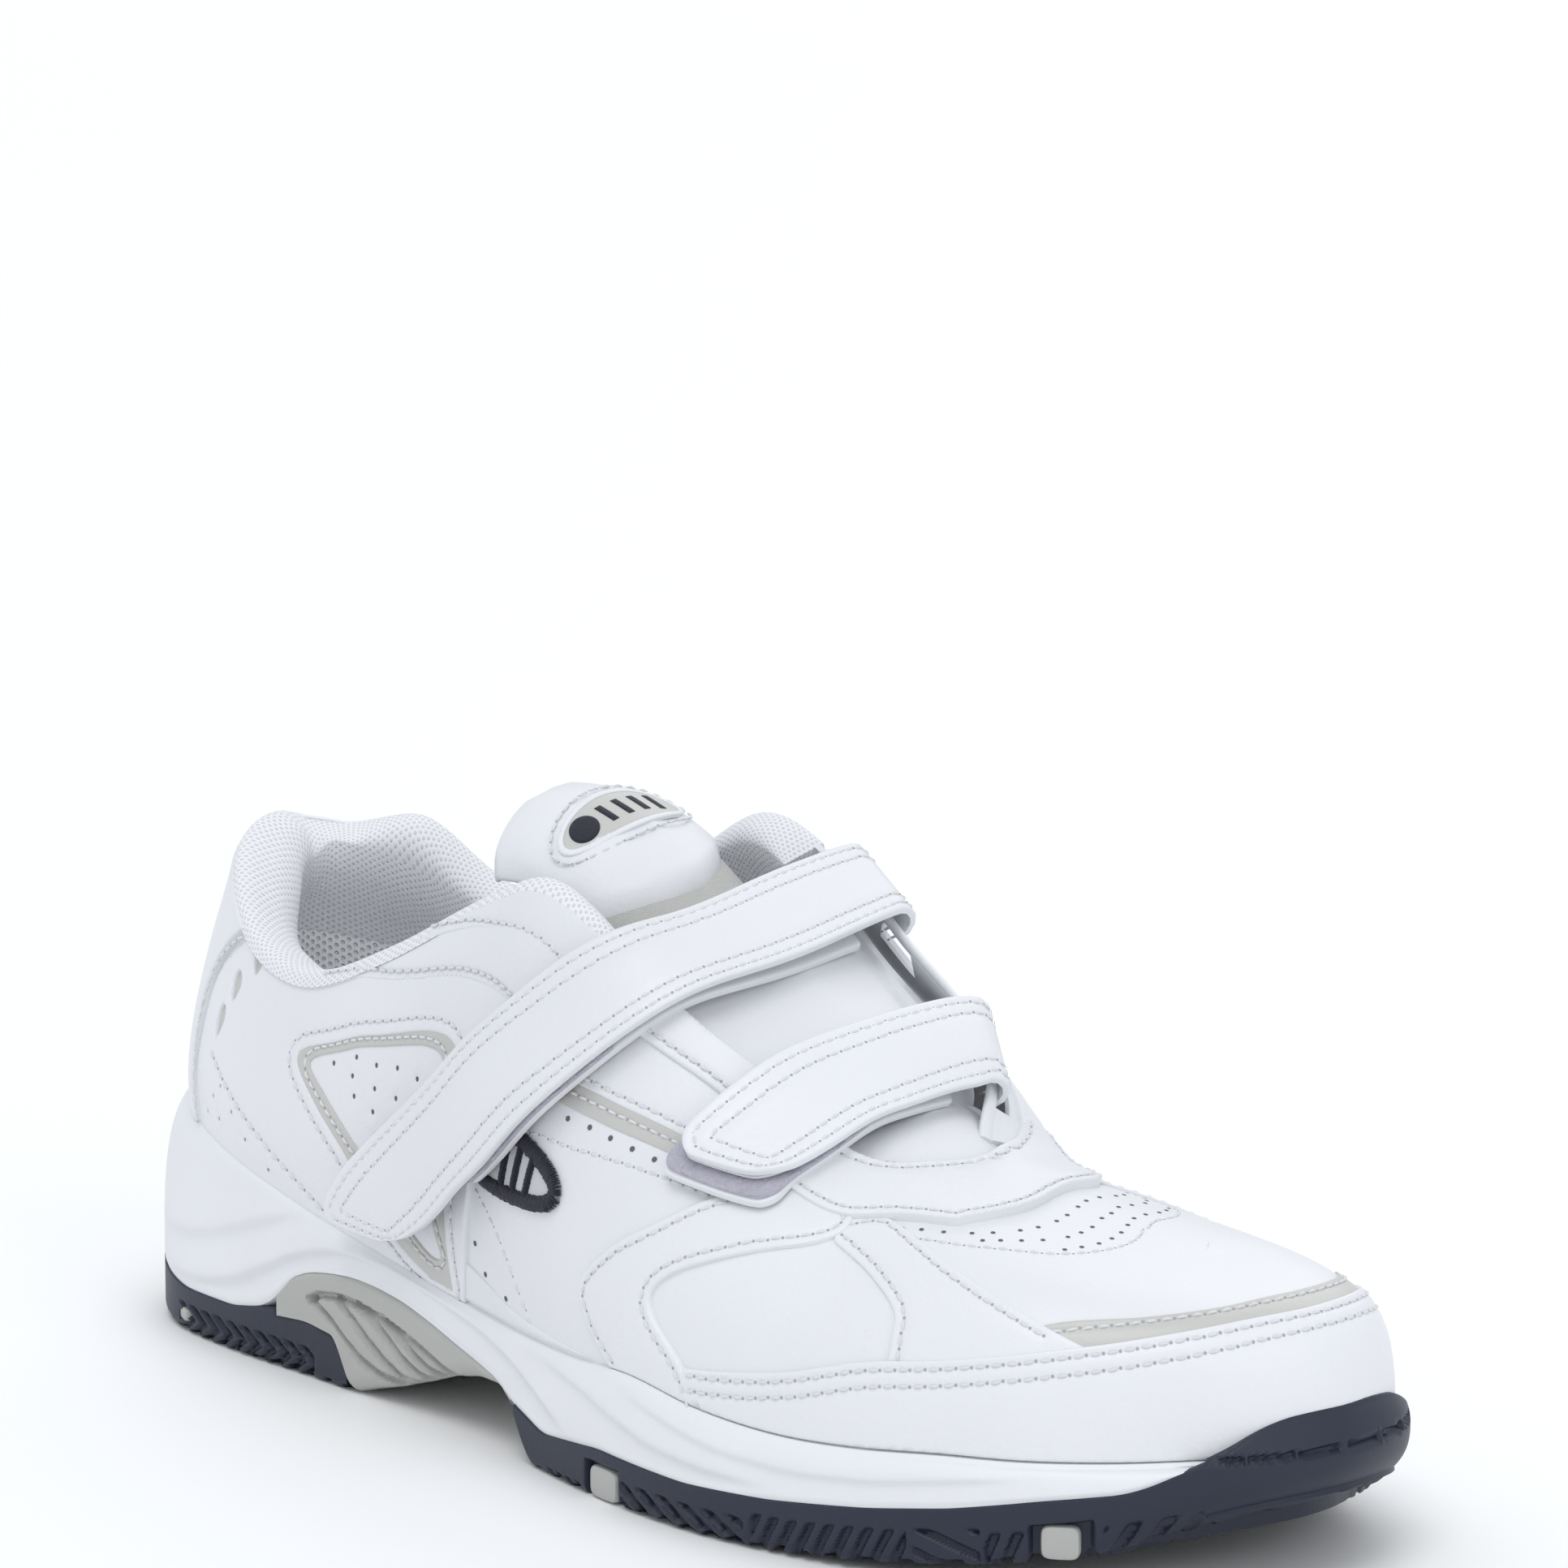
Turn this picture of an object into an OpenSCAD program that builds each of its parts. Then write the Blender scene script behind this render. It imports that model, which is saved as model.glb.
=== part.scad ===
// Court shoe for the right foot, men's size EU 43, closed by two hook and loop straps.
// +X points to the toe, +Y to the medial (inner) side and +Z up. The sole rests on z = 0.
//
// The upper is described by ribs: curves that rise from the feather line, where the upper
// meets the midsole, to the top line, which is the collar, the edge of the throat or the
// ridge of the vamp. A place on the upper is (s, t): s counts the ribs from the middle of
// the heel round the lateral side, the toe and the medial side, and t runs from 0 at the
// feather line to 1 at the top line. Every layer of the upper is a stretch of (s, t)
// between two distances from that surface.

/* [Upper] */
// Thickness of the base leather
leather = 1.3; // [1:0.1:1.6]
// Thickness of the overlays
overlay = 1.2; // [0.8:0.1:1.4]
// Gap left between layers that are sewn together
layer_gap = 0.25; // [0.2:0.05:0.4]
// Thickness of the collar foam
foam = 4.5; // [3:0.5:6]
// Thickness of the lining
lining = 1.0; // [0.8:0.1:1.4]

/* [Straps] */
// Thickness of one leaf of a strap
strap_t = 1.5; // [1.2:0.1:1.8]
// Thickness of the hook patch
hook_t = 0.5; // [0.4:0.1:0.8]
// Thickness of the loop pile
pile_t = 0.7; // [0.5:0.1:1]

/* [Sole] */
// Thickness of the insole board
board_t = 1.8; // [1:0.2:3]
// Thickness of the sockliner
sock_t = 4; // [3:0.5:5]
// Height of the foot bed under the heel
bed_heel = 25; // [22:1:27]
// Height of the foot bed under the ball
bed_ball = 13; // [12:0.5:15]
// Rise of the toe above the ground
toe_spring = 12.5; // [8:0.5:14]

/* [Hidden] */

// The whole shoe is moved by this, so that the middle of its box is on the Z axis.
centre = [-0.35, 0.5, 0];

// One rib a line: foot of the rib, head of the rib, outward lean at the foot and rise at
// the head in degrees, the two handles as shares of the rib's length, and how far the
// sole stands out from the foot of the rib. Rib 0 is at the middle of the heel and rib
// 18 at the tip of the toe; 1 to 17 are lateral and 19 to 33 medial.
RIBS = [
    [-141.5, 0, 48,     -133.5, 0, 98,     4, 80, .36, .30, 8.5],
    [-135.5, -17, 46,   -129, -12, 95.5,   4, 80, .36, .30, 9],
    [-122.5, -30, 42,   -117.5, -22.5, 89, 6, 78, .36, .30, 6.5],
    [-100, -37.5, 38,   -100, -30.5, 80,   8, 76, .36, .30, 2.5],
    [-75, -38.5, 32,    -80, -33.5, 77.5,  9, 74, .36, .30, 2],
    [-50, -39, 27.5,    -56, -33.5, 86,   10, 70, .36, .34, 2.5],
    [-25, -41, 24,      -30, -30.5, 99,   10, 64, .36, .36, 2.5],
    [-5, -44, 22.5,     -13, -29.5, 103,  10, 56, .38, .38, 2.5],
    [15, -48, 22.8,     11, -29, 92,       8, 50, .40, .40, 2.5],
    [33, -50.5, 24,     30, -25.5, 81.5,   6, 42, .42, .42, 2.5],
    [52, -50.5, 21.5,   46, -19.5, 72.5,   4, 34, .46, .44, 3],
    [70, -48.5, 20.3,   58, -11, 66.5,     2, 22, .50, .48, 2.8],
    [86, -44.5, 20.5,   66, 0, 63,         2, 6, .52, .50, 3],
    [101, -39, 21.5,    79, 4, 59.5,       2, 0, .54, .54, 3.3],
    [115, -32.5, 22,    93, 7, 56.8,       2, 0, .56, .56, 3.5],
    [127, -23, 22.5,    103.5, 9.2, 55.1,  2, 0, .58, .58, 4],
    [137, -11.5, 23,    109.5, 10.6, 54.3, 2, 0, .61, .60, 4.5],
    [143.5, 0, 23,      111.5, 11.1, 54,   2, 0, .62, .60, 5],
    [146.5, 13, 23,     112, 11.2, 54,     2, 0, .62, .60, 4.5],
    [142, 28.5, 23,     111.5, 11.1, 54,   2, 0, .61, .56, 4],
    [130, 39.5, 23,     108.5, 10.4, 54.4, 2, 0, .56, .50, 3.7],
    [112, 46.5, 22.5,   98, 8, 56,         2, 0, .48, .42, 3.5],
    [90, 49, 21.5,      82, 4.5, 59,       2, 2, .42, .38, 3.5],
    [70, 48, 20.5,      68, 2, 63.5,       2, 14, .42, .38, 3.5],
    [52, 46, 21,        58, 12.5, 74.5,    2, 44, .42, .38, 3.2],
    [34, 42, 22.5,      45, 18.5, 83,      4, 54, .42, .38, 3.5],
    [15, 38.5, 24,      25, 22.5, 92.5,    6, 58, .40, .38, 2.5],
    [-5, 35, 26,        4, 26, 103.5,      8, 60, .38, .38, 1.5],
    [-28, 32, 28,       -20, 29, 109,      8, 60, .36, .38, 2],
    [-52, 31.5, 30,     -45, 31.5, 97,     9, 68, .36, .34, 2.5],
    [-77, 33.5, 34,     -77, 33.5, 81,     9, 74, .36, .30, 2.5],
    [-101, 35.5, 38,    -100, 31.5, 83,    8, 76, .36, .30, 2.5],
    [-122.5, 30, 42,    -117.5, 23, 92,    6, 78, .36, .30, 6],
    [-135.5, 17, 46,    -129, 12, 96,      4, 80, .36, .30, 8.5]];
ribs_n = len(RIBS);
toe_rib = 18;

// Where the rib across the throat from lateral rib q stands on the medial side.
MATES = [[5, 29], [6, 28.6], [7, 28], [8, 27.3], [8.3, 27], [9, 26.15], [9.6, 24.95], [10.85, 23.7], [12, 23.1]];

// Lateral and medial ribs whose feet stand at the same X.
PAIRS = [[0, 34], [1, 33], [2, 32], [3, 31.04], [4, 30.08], [5, 29.08], [6, 28.1], [7, 27],
    [8, 26], [9, 25.05], [10, 24], [11, 23], [12, 22.2], [13, 21.5], [14, 20.85], [15, 20.17],
    [16, 19.4], [17, 18.6], [18, 18]];

// Heights along X: the ground side of the sole, the top of the navy rubber on the wall,
// the top of whatever wraps the midsole's wall, the underside of the midsole and the bed
// that the insole board lies on.
ground = [[-152, 3.5], [-142, 1.6], [-130, 0.4], [-118, 0], [-60, 0], [-55, 1.6], [-48, 3.5],
    [-40, 6], [-30, 9.5], [-20, 11.8], [-12, 12], [-7, 9], [-3, 3], [0, 0], [55, 0],
    [75, toe_spring * 0.045], [95, toe_spring * 0.18], [110, toe_spring * 0.34],
    [125, toe_spring * 0.54], [138, toe_spring * 0.77], [152, toe_spring * 1.05]];
rubber = [[-152, 17], [-140, 12.5], [-130, 10.5], [-118, 9], [-100, 9.2], [-87, 11.4], [-75, 12.2],
    [-60, 10.4], [-12, 13], [-6, 10.2], [5, 7.2], [25, 9.2], [50, 8.6], [70, 9.5],
    [90, 11.4], [105, 13.5], [120, 16.6], [132, 18.6], [139, 22.5], [152, 23]];
wrap = [[-152, 17], [-140, 12.5], [-130, 10.5], [-118, 9], [-100, 9.2], [-90, 11.2], [-85, 14.2],
    [-81, 18.5], [-75, 20.8], [-68, 21.9], [-61, 22.5], [-53, 22.2], [-44, 21.1], [-35, 19],
    [-26, 16.6], [-19, 15], [-12, 13.4], [-6, 10.2], [5, 7.2], [25, 9.2], [50, 8.6], [70, 9.5],
    [90, 11.4], [105, 13.5], [120, 16.6], [132, 18.6], [139, 22.5], [152, 23]];
core = [[-152, 6.5], [-118, 4.5], [-66, 4.5], [-60, 5.5], [-50, 8], [-40, 10.2], [-30, 12.9],
    [-22, 14.5], [-14, 14.4], [-11, 13.2], [-7, 9.8], [-3, 5.5], [2, 4.5], [55, 4.5],
    [75, 5.1], [95, 6.7], [110, 8.7], [125, 11.3], [138, 14], [152, 17.5]];
bed = [[-150, bed_heel + 1], [-80, bed_heel - 1], [-40, bed_heel - 5], [0, bed_ball + 3.5],
    [40, bed_ball], [80, bed_ball], [110, bed_ball + 1.5], [140, bed_ball + 4.5]];

// How far the rubber bumper climbs the toe above the ordinary top of the rubber.
bumper = [[15.9, 0], [16.3, 3], [16.8, 7], [17.4, 8.2], [18.6, 8.2], [19.2, 6], [19.8, 0]];
// Thickness of the rubber wall that wraps the midsole, and its gap from the midsole.
wall_t = 2.4;
wall_gap = 0.9;
// Gap between the underside of the midsole and the rubber or the shank.
base_gap = 0.7;

// ---- arithmetic -------------------------------------------------------------------

function unit(v) = v / max(norm(v), 1e-9);
function clamp(x) = max(0, min(1, x));
function steps(a, b, n) = [for (i = [0 : n]) a + (b - a) * i / n];
function wrap_index(i) = ((i % ribs_n) + ribs_n) % ribs_n;

// Catmull-Rom value of the closed table M at the real place s.
function at(M, s) = let(i = floor(s), f = s - i, a = M[wrap_index(i - 1)],
    b = M[wrap_index(i)], c = M[wrap_index(i + 1)], d = M[wrap_index(i + 2)])
    0.5 * (2 * b + (c - a) * f + (2 * a - 5 * b + 4 * c - d) * f * f
        + (3 * b - a - 3 * c + d) * f * f * f);

function bezier(P, t) = pow(1 - t, 3) * P[0] + 3 * pow(1 - t, 2) * t * P[1]
    + 3 * (1 - t) * t * t * P[2] + pow(t, 3) * P[3];

// ---- the surface of the upper ---------------------------------------------------------

// Level direction into the shoe from the foot of rib s.
function inward(s) = let(d = at(RIBS, s + 0.001) - at(RIBS, s - 0.001)) unit([-d[1], d[0], 0]);

// Direction in which rib s arrives at its head. Along the ridge of the vamp it also falls
// with the ridge towards the toe.
function head_dir(s) = let(r = at(RIBS, s), level = [r[3] - r[0], r[4] - r[1], 0],
    share = clamp((norm(level) - 6) / 14),
    flat = unit(unit(level) * share + inward(s) * (1 - share)),
    fall = -0.27 * clamp((r[3] - 52) / 14),
    way = unit(flat + [0, 0, flat[0] * fall]))
    unit(way * cos(r[7]) + [0, 0, sin(r[7])]);

// The four Bezier points of rib s.
function rib(s) = let(r = at(RIBS, s), foot = [r[0], r[1], r[2]], head = [r[3], r[4], r[5]],
    L = norm(head - foot), start = -inward(s) * sin(r[6]) + [0, 0, cos(r[6])])
    [foot, foot + start * L * r[8], head - head_dir(s) * L * r[9], head];

function head(s) = let(r = at(RIBS, s)) [r[3], r[4], r[5]];

// Outward normal of the surface at (s, t).
function skin_normal(s, t) = let(u = max(0.003, min(0.997, t)), e = 0.003)
    unit(cross(bezier(rib(s + e), u) - bezier(rib(s - e), u),
        bezier(rib(s), u + e) - bezier(rib(s), u - e)));

// The point at distance d outside the surface at (s, t).
function skin(s, t, d = 0) = bezier(rib(s), t) + skin_normal(s, t) * d;

// The crown over the tongue between lateral rib q and its mate, w from 0 to 1.
function crown_flat(q, w) = let(m = lookup(q, MATES), A = head(q), B = head(m),
    rise = [0, 0, 0.06 * norm(B - A)])
    bezier([A, A + (B - A) / 3 + rise, B - (B - A) / 3 + rise, B], w);
function crown(q, w, d = 0) = let(u = max(0.02, min(0.98, w)), e = 0.02)
    crown_flat(q, w) + d * unit(cross(crown_flat(q + e, u) - crown_flat(q - e, u),
        crown_flat(q, u + e) - crown_flat(q, u - e)));

// The way of a strap across the shoe: v from 0 to 1 is up lateral rib q, from 1 to 2 over
// the crown, and from 2 to 3 down the medial rib.
function over(q, v, d = 0) = v <= 1 ? skin(q, v, d)
    : v <= 2 ? crown(q, v - 1, d) : skin(lookup(q, MATES), 3 - v, d);

// ---- solids from sections --------------------------------------------------------------

function volume6(P, F) = [for (f = F) P[f[0]] * cross(P[f[1]], P[f[2]])] * [for (f = F) 1];

// A closed solid from triangles in either winding.
module solid(P, F) {
    polyhedron(points = P, faces = volume6(P, F) > 0 ? [for (f = F) [f[0], f[2], f[1]]] : F);
}

function split(a, b, c, d) = [for (f = [[a, b, c], [a, c, d]])
    if (f[0] != f[1] && f[1] != f[2] && f[0] != f[2]) f];

// A solid through closed sections of n points. Point j of a section faces point n - 1 - j.
// An end is closed by a "strip" between facing points or, for a channel, as "wall": a fan
// over each wall and one face between them. Or it is folded: "pair" joins facing points,
// and "arch" joins the two halves of the outer path and of the inner one.
module loft(S, end0 = "strip", end1 = "strip", ring = false) {
    m = len(S);
    n = len(S[0]);
    h = n / 2;
    function fold(kind, j) = kind == "pair" ? min(j, n - 1 - j)
        : kind == "arch" ? (j < h ? min(j, h - 1 - j) : n - 1 - min(n - 1 - j, h - n + j)) : j;
    function id(i, j) = let(k = j % n, r = i % m)
        r * n + (r == 0 ? fold(end0, k) : r == m - 1 ? fold(end1, k) : k);
    walls = [for (i = [0 : m - (ring ? 1 : 2)], j = [0 : n - 1])
        each split(id(i, j), id(i, j + 1), id(i + 1, j + 1), id(i + 1, j))];
    function cap(i, kind) = ring ? []
        : kind == "strip" ? [for (j = [0 : h - 2]) each split(id(i, j), id(i, j + 1), id(i, n - 2 - j), id(i, n - 1 - j))]
        : kind == "wall" ? concat([for (j = [1 : h - 2]) [id(i, 0), id(i, j), id(i, j + 1)]],
            [for (k = [h : n - 3]) [id(i, n - 1), id(i, k), id(i, k + 1)]],
            split(id(i, 0), id(i, h - 1), id(i, h), id(i, n - 1)))
        : [];
    first = [for (f = cap(0, end0)) [f[0], f[2], f[1]]];
    last = cap(m - 1, end1);
    solid([for (s = S) each s], concat(walls, first, last));
}

// A layer of the upper over the ribs ss, from t = lo to t = hi, between the distances d0
// and d1. lo and hi are tables against s.
module layer(ss, lo, hi, d0, d1, n = 4) {
    loft([for (s = ss) let(ts = steps(lookup(s, lo), lookup(s, hi), n)) concat(
        [for (t = ts) skin(s, t, d1)], [for (i = [n : -1 : 0]) skin(s, ts[i], d0)])]);
}

// A layer that runs from the lateral side over the ridge of the vamp to the medial side,
// and round the toe. stations pairs lateral with medial ribs, and the last one is the toe.
module vamp_layer(stations, lo, d0, d1, n = 6) {
    loft([for (p = stations) let(
        a = [for (t = steps(lookup(p[0], lo), 1, n)) [p[0], t]],
        b = [for (t = steps(1, lookup(p[1], lo), n)) if (t < 1) [p[1], t]],
        path = concat(a, b)) concat([for (c = path) skin(c[0], c[1], d1)],
        [for (i = [len(path) - 1 : -1 : 0]) skin(path[i][0], path[i][1], d0)])],
        end1 = "arch");
}

// A strip of width w that follows places (s, t) on the upper; ring closes it on itself.
module piping(places, w, d0, d1, ring = false) {
    n = len(places);
    pts = [for (p = places) skin(p[0], p[1], d0)];
    loft([for (i = [0 : n - 1]) let(
        a = pts[ring ? (i + n - 1) % n : max(i - 1, 0)], b = pts[ring ? (i + 1) % n : min(i + 1, n - 1)],
        up = skin_normal(places[i][0], places[i][1]), side = unit(cross(b - a, up)) * w / 2)
        [pts[i] - side, pts[i] - side + up * (d1 - d0), pts[i] + side + up * (d1 - d0), pts[i] + side]],
        ring = ring);
}

// The frame of the fold at the medial end of a strap whose edges there are the ribs q[0]
// and q[1]: [centre at edge 0, centre at edge 1, outward, onward].
function fold_frame(q) = let(a = head(lookup(q[0], MATES)), b = head(lookup(q[1], MATES)),
    axis = unit(b - a), mid = (q[0] + q[1]) / 2,
    n0 = unit(cross(crown_flat(mid + 0.02, 0.9) - crown_flat(mid - 0.02, 0.9),
        crown_flat(mid, 0.92) - crown_flat(mid, 0.88))),
    n = unit(n0 - axis * (n0 * axis)))
    [a + n * fold_rise, b + n * fold_rise, n, cross(n, axis)];

// A row across a strap at place (q, v) of both edges, at distance d from the surface.
width_n = 4;
function strap_row(p, d) = [for (k = steps(0, 1, width_n)) let(c = p[0] + (p[1] - p[0]) * k)
    over(c[0], c[1], d)];
function fold_row(f, radius, angle) = [for (k = steps(0, 1, width_n)) f[0] + (f[1] - f[0]) * k
    + radius * (f[2] * cos(angle) + f[3] * sin(angle))];
function flip(row) = [for (i = [len(row) - 1 : -1 : 0]) row[i]];

// The stations with one more between each two.
function dense(S) = [for (i = [0 : len(S) - 1]) each i == 0 ? [S[0]] : [(S[i - 1] + S[i]) / 2, S[i]]];

// A leaf of a strap. stations holds the two edges as places (q, v) of over(), and low is a
// table of the distance of its underside against v.
module leaf(stations, low, t) {
    loft([for (p = dense(stations)) let(d = lookup((p[0][1] + p[1][1]) / 2, low))
        concat(strap_row(p, d + t), flip(strap_row(p, d)))]);
}

// A leaf that goes on into the fold, a half turn about the keeper.
module folded_leaf(stations, low, t) {
    f = fold_frame([for (e = stations[len(stations) - 1]) e[0]]);
    loft(concat([for (p = dense(stations)) let(d = lookup((p[0][1] + p[1][1]) / 2, low))
        concat(strap_row(p, d + t), flip(strap_row(p, d)))],
        [for (a = steps(0, 180, 9)) concat(fold_row(f, fold_r + t, a), flip(fold_row(f, fold_r, a)))]));
}

// ---- the sole ------------------------------------------------------------------------

// A point level with z, at distance d outside the foot of rib s.
function beside(s, d, z) = let(r = at(RIBS, s), q = inward(s)) [r[0] - q[0] * d, r[1] - q[1] * d, z];
function sole_out(s) = at(RIBS, s)[10];
function feather(s) = at(RIBS, s)[2];
function sole_x(s) = at(RIBS, s)[0] - inward(s)[0] * sole_out(s);

// Sections across the sole from lateral rib a to b, each with the profile of both sides.
// A profile lists, from the bottom up and then in, [distance outside the feather line, z].
module slab(a, b, n, profile, end0 = "strip", end1 = "strip") {
    loft([for (s = steps(a, b, n)) let(m = s >= toe_rib ? toe_rib : s <= 0 ? 0 : lookup(s, PAIRS),
        p = profile(s), q = profile(m)) concat([for (c = p) beside(s, c[0], c[1])],
        [for (i = [len(q) - 1 : -1 : 0]) beside(m, q[i][0], q[i][1])])], end0, end1);
}

// Top of the wrap round the midsole at rib s, with the toe bumper.
function cover(s) = lookup(sole_x(s), wrap) + lookup(s, bumper);

function midsole_profile(s) = let(x = sole_x(s), o = sole_out(s), top = feather(s),
    ledge = min(cover(s) + 0.7, top - 1.5), in = o - wall_t - wall_gap, covered = cover(s) > top - 2,
    wide = covered ? in : o, floor_z = lookup(x, bed), base = lookup(x, core))
    [[in - 0.4, base], [in, base + 0.8], [in, ledge - 0.2], [wide, ledge],
    [wide + (covered ? 0 : 0.3), min(ledge + (top - ledge) * 0.4, top - 1.25)],
    [min(wide, 0.5 * o + 0.8), top - 1],
    [1.4, top], [0.9, top], [0.9, max(top - 6, floor_z + 3.5)], [-2.5, floor_z + 1], [-6, floor_z]];

function rubber_profile(s) = let(x = sole_x(s), o = sole_out(s), z = lookup(x, ground),
    top = lookup(x, rubber) + lookup(s, bumper), base = lookup(x, core) - base_gap)
    [[o - 2.2, z], [o - 0.3, z + min(1.5, (top - z) / 3)], [o, z + (top - z) * 0.5], [o - 0.2, top],
    [o - wall_t, top], [o - wall_t, max(base, min(base + 0.1, top))], [o - wall_t - 0.2, base]];

function shank_profile(s) = let(x = sole_x(s), o = sole_out(s), z = lookup(x, ground) + 0.3,
    top = lookup(x, wrap), base = lookup(x, core) - base_gap)
    [[o - 2.2, z], [o - 0.1, z + 0.3 * (top - z)], [o, z + (top - z) * 0.6], [o - 0.2, top],
    [o - wall_t, top], [o - wall_t, max(base, min(base + 0.1, top))], [o - wall_t - 0.2, max(z + 0.4, base)]];

// A wing of the shank on the wall of the midsole, above the heel rubber.
module shank_wing(ss) {
    loft([for (s = ss) let(x = sole_x(s), o = sole_out(s), low = lookup(x, rubber) + 0.3,
        top = max(lookup(x, wrap), low + 0.4))
        [beside(s, o - wall_t, low), beside(s, o - 0.1, low), beside(s, o - 0.1, top),
        beside(s, o - wall_t, top)]]);
}

// A bar through the rubber at the foot of the wall, at lateral or medial rib s.
module pod(s, width, height, deep, grow = 0) {
    q = inward(s);
    translate(beside(s, sole_out(s) + 0.3 + grow, lookup(sole_x(s), ground) + 0.4))
        rotate([0, 0, atan2(q[1], q[0])]) translate([0, -width / 2 - grow, -grow])
            cube([deep + 2 * grow, width + 2 * grow, height + 2 * grow]);
}
// Ribs with a pod at the ball and at the toe, lateral and medial.
pods = [[8.67, 7], [14.45, 6], [25.4, 7], [20.4, 6]];
module pod_set(grow = 0) {
    for (p = pods) pod(p[0], p[1], 5.6, 2, grow);
}
plug_rib = 2.25;

module outsole_forefoot() {
    color("#323a50") difference() {
        slab(7, toe_rib, 33, function(s) rubber_profile(s), "wall", "pair");
        pod_set(0.15);
    }
}
module outsole_heel() {
    color("#323a50") difference() {
        slab(0, 4.5, 18, function(s) rubber_profile(s), "pair", "wall");
        pod(plug_rib, 4, 4, 2, 0.15);
    }
}
module shank() {
    color("#bdbdb4") {
        slab(4.58, 6.5, 9, function(s) shank_profile(s), "wall", "wall");
        shank_wing(steps(3.62, 4.66, 4));
        shank_wing(steps(29.42, 30.45, 4));
    }
}
module forefoot_pods() {
    color("#bdbdb4") pod_set();
}
module heel_plug() {
    color("#bdbdb4") pod(plug_rib, 4, 4, 2);
}
module midsole() {
    color("white") slab(0, toe_rib, 36, function(s) midsole_profile(s), "pair", "pair");
}
// A flat layer of thickness t on the foot bed, at height z above it.
function board_profile(s, in, z, t) = let(b = lookup(sole_x(s), bed) + z) [[in, b], [in, b + t]];
module insole_board() {
    color("#d8cfb8") slab(0, toe_rib, 26, function(s) board_profile(s, -6.5, 0.3, board_t), "pair", "pair");
}
module sockliner() {
    color("#e6e6e8") slab(0, toe_rib, 26,
        function(s) board_profile(s, -7, 0.6 + board_t, sock_t), "pair", "pair");
}

// ---- the upper ---------------------------------------------------------------------------

// Distances of the layers from the surface: overlays outside it, base leather just under
// it, then the stiffeners or the collar foam, and the lining.
over0 = layer_gap;
over1 = layer_gap + overlay;
stiff0 = -leather - layer_gap - 0.9;
stiff1 = -leather - layer_gap;
front_lining0 = stiff0 - layer_gap - lining;
front_lining1 = stiff0 - layer_gap;
foam0 = -leather - layer_gap - foam;
foam1 = -leather - layer_gap - 0.3;
lining0 = foam0 - layer_gap - lining;
lining1 = foam0 - layer_gap;

// Lateral ribs 12 to 18 and the medial ribs that meet them along the ridge.
VAMP = [for (u = steps(0, 1, 16)) [12 + 6 * u, lookup(u, [[0, 23], [0.2, 22], [0.4, 21.2], [0.65, 20.2],
    [0.85, 19], [1, 18]])]];
skirt = [[0, -0.015], [34, -0.015]];

module vamp() {
    color("white") vamp_layer(VAMP, skirt, -leather, 0);
}
module lateral_quarter() {
    color("white") layer(steps(0.04, 11.9, 26), skirt, [[0, 0.97], [7.9, 0.97], [8.3, 1], [12, 1]], -leather, 0, 6);
}
module medial_quarter() {
    color("white") layer(steps(23.15, 33.96, 26), skirt, [[23, 0.85], [27.5, 0.85], [27.7, 0.97], [34, 0.97]],
        -leather, 0, 6);
}
// The lower edge of all overlays, just above the lip of the midsole.
hem = [[-4, 0.02], [38, 0.02]];
module toe_cap() {
    color("white") layer(steps(12.5, 22.2, 26), hem,
        [[12.5, 0.19], [14, 0.25], [15.7, 0.37], [16.7, 0.46], [18, 0.5], [19, 0.44], [20, 0.36], [22.2, 0.2]],
        over0, over1, 4);
}
module toe_trim() {
    color("#d5d4cf") layer(steps(13.9, 19.8, 20),
        [[13.9, 0.27], [15.2, 0.36], [16.7, 0.49], [18, 0.53], [19, 0.47], [19.8, 0.4]],
        [[13.9, 0.3], [14.4, 0.37], [15.2, 0.45], [16.7, 0.6], [18, 0.64], [19, 0.57], [19.8, 0.47]],
        over0, over0 + 0.6, 2);
}
module lateral_forefoot_overlay() {
    color("white") layer(steps(8.3, 12.4, 12), hem,
        [[8.3, 0.12], [8.65, 0.3], [9.2, 0.42], [9.7, 0.55], [10.7, 0.6], [11.3, 0.58], [11.9, 0.42], [12.4, 0.2]],
        over0, over1, 5);
}
module medial_forefoot_overlay() {
    color("white") layer(steps(22.3, 26.6, 12), hem,
        [[22.3, 0.2], [22.9, 0.45], [23.7, 0.62], [24.9, 0.6], [25.6, 0.45], [26.2, 0.3], [26.6, 0.12]],
        over0, over1, 5);
}
module lateral_saddle() {
    color("white") layer(steps(5.8, 8.2, 8), hem, [[5.8, 0.2], [7, 0.25], [8.2, 0.14]], over0, over1, 4);
}
module medial_saddle() {
    color("white") layer(steps(26.7, 28.2, 6), hem, [[26.7, 0.2], [27.4, 0.25], [28.2, 0.2]], over0, over1, 4);
}
module lateral_collar_panel() {
    color("white") layer(steps(2.75, 6.7, 14), [[2.7, 0.78], [4, 0.8], [5.7, 0.75], [6.7, 0.68]],
        [[2.7, 0.95], [6.7, 0.95]], over0, over1, 3);
}
module medial_collar_panel() {
    color("white") layer(steps(28.4, 31.25, 12), [[28.4, 0.68], [29.2, 0.75], [31.25, 0.78]],
        [[28.4, 0.95], [31.25, 0.95]], over0, over1, 3);
}
module lateral_eyestay() {
    color("white") layer(steps(6.85, 11.5, 14), [[6.85, 0.7], [7.6, 0.68], [9, 0.74], [10, 0.8], [11.5, 0.74]],
        [[6.85, 0.95], [7.9, 0.95], [8.3, 0.985], [11.5, 0.985]], over0, over1, 3);
}
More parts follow.
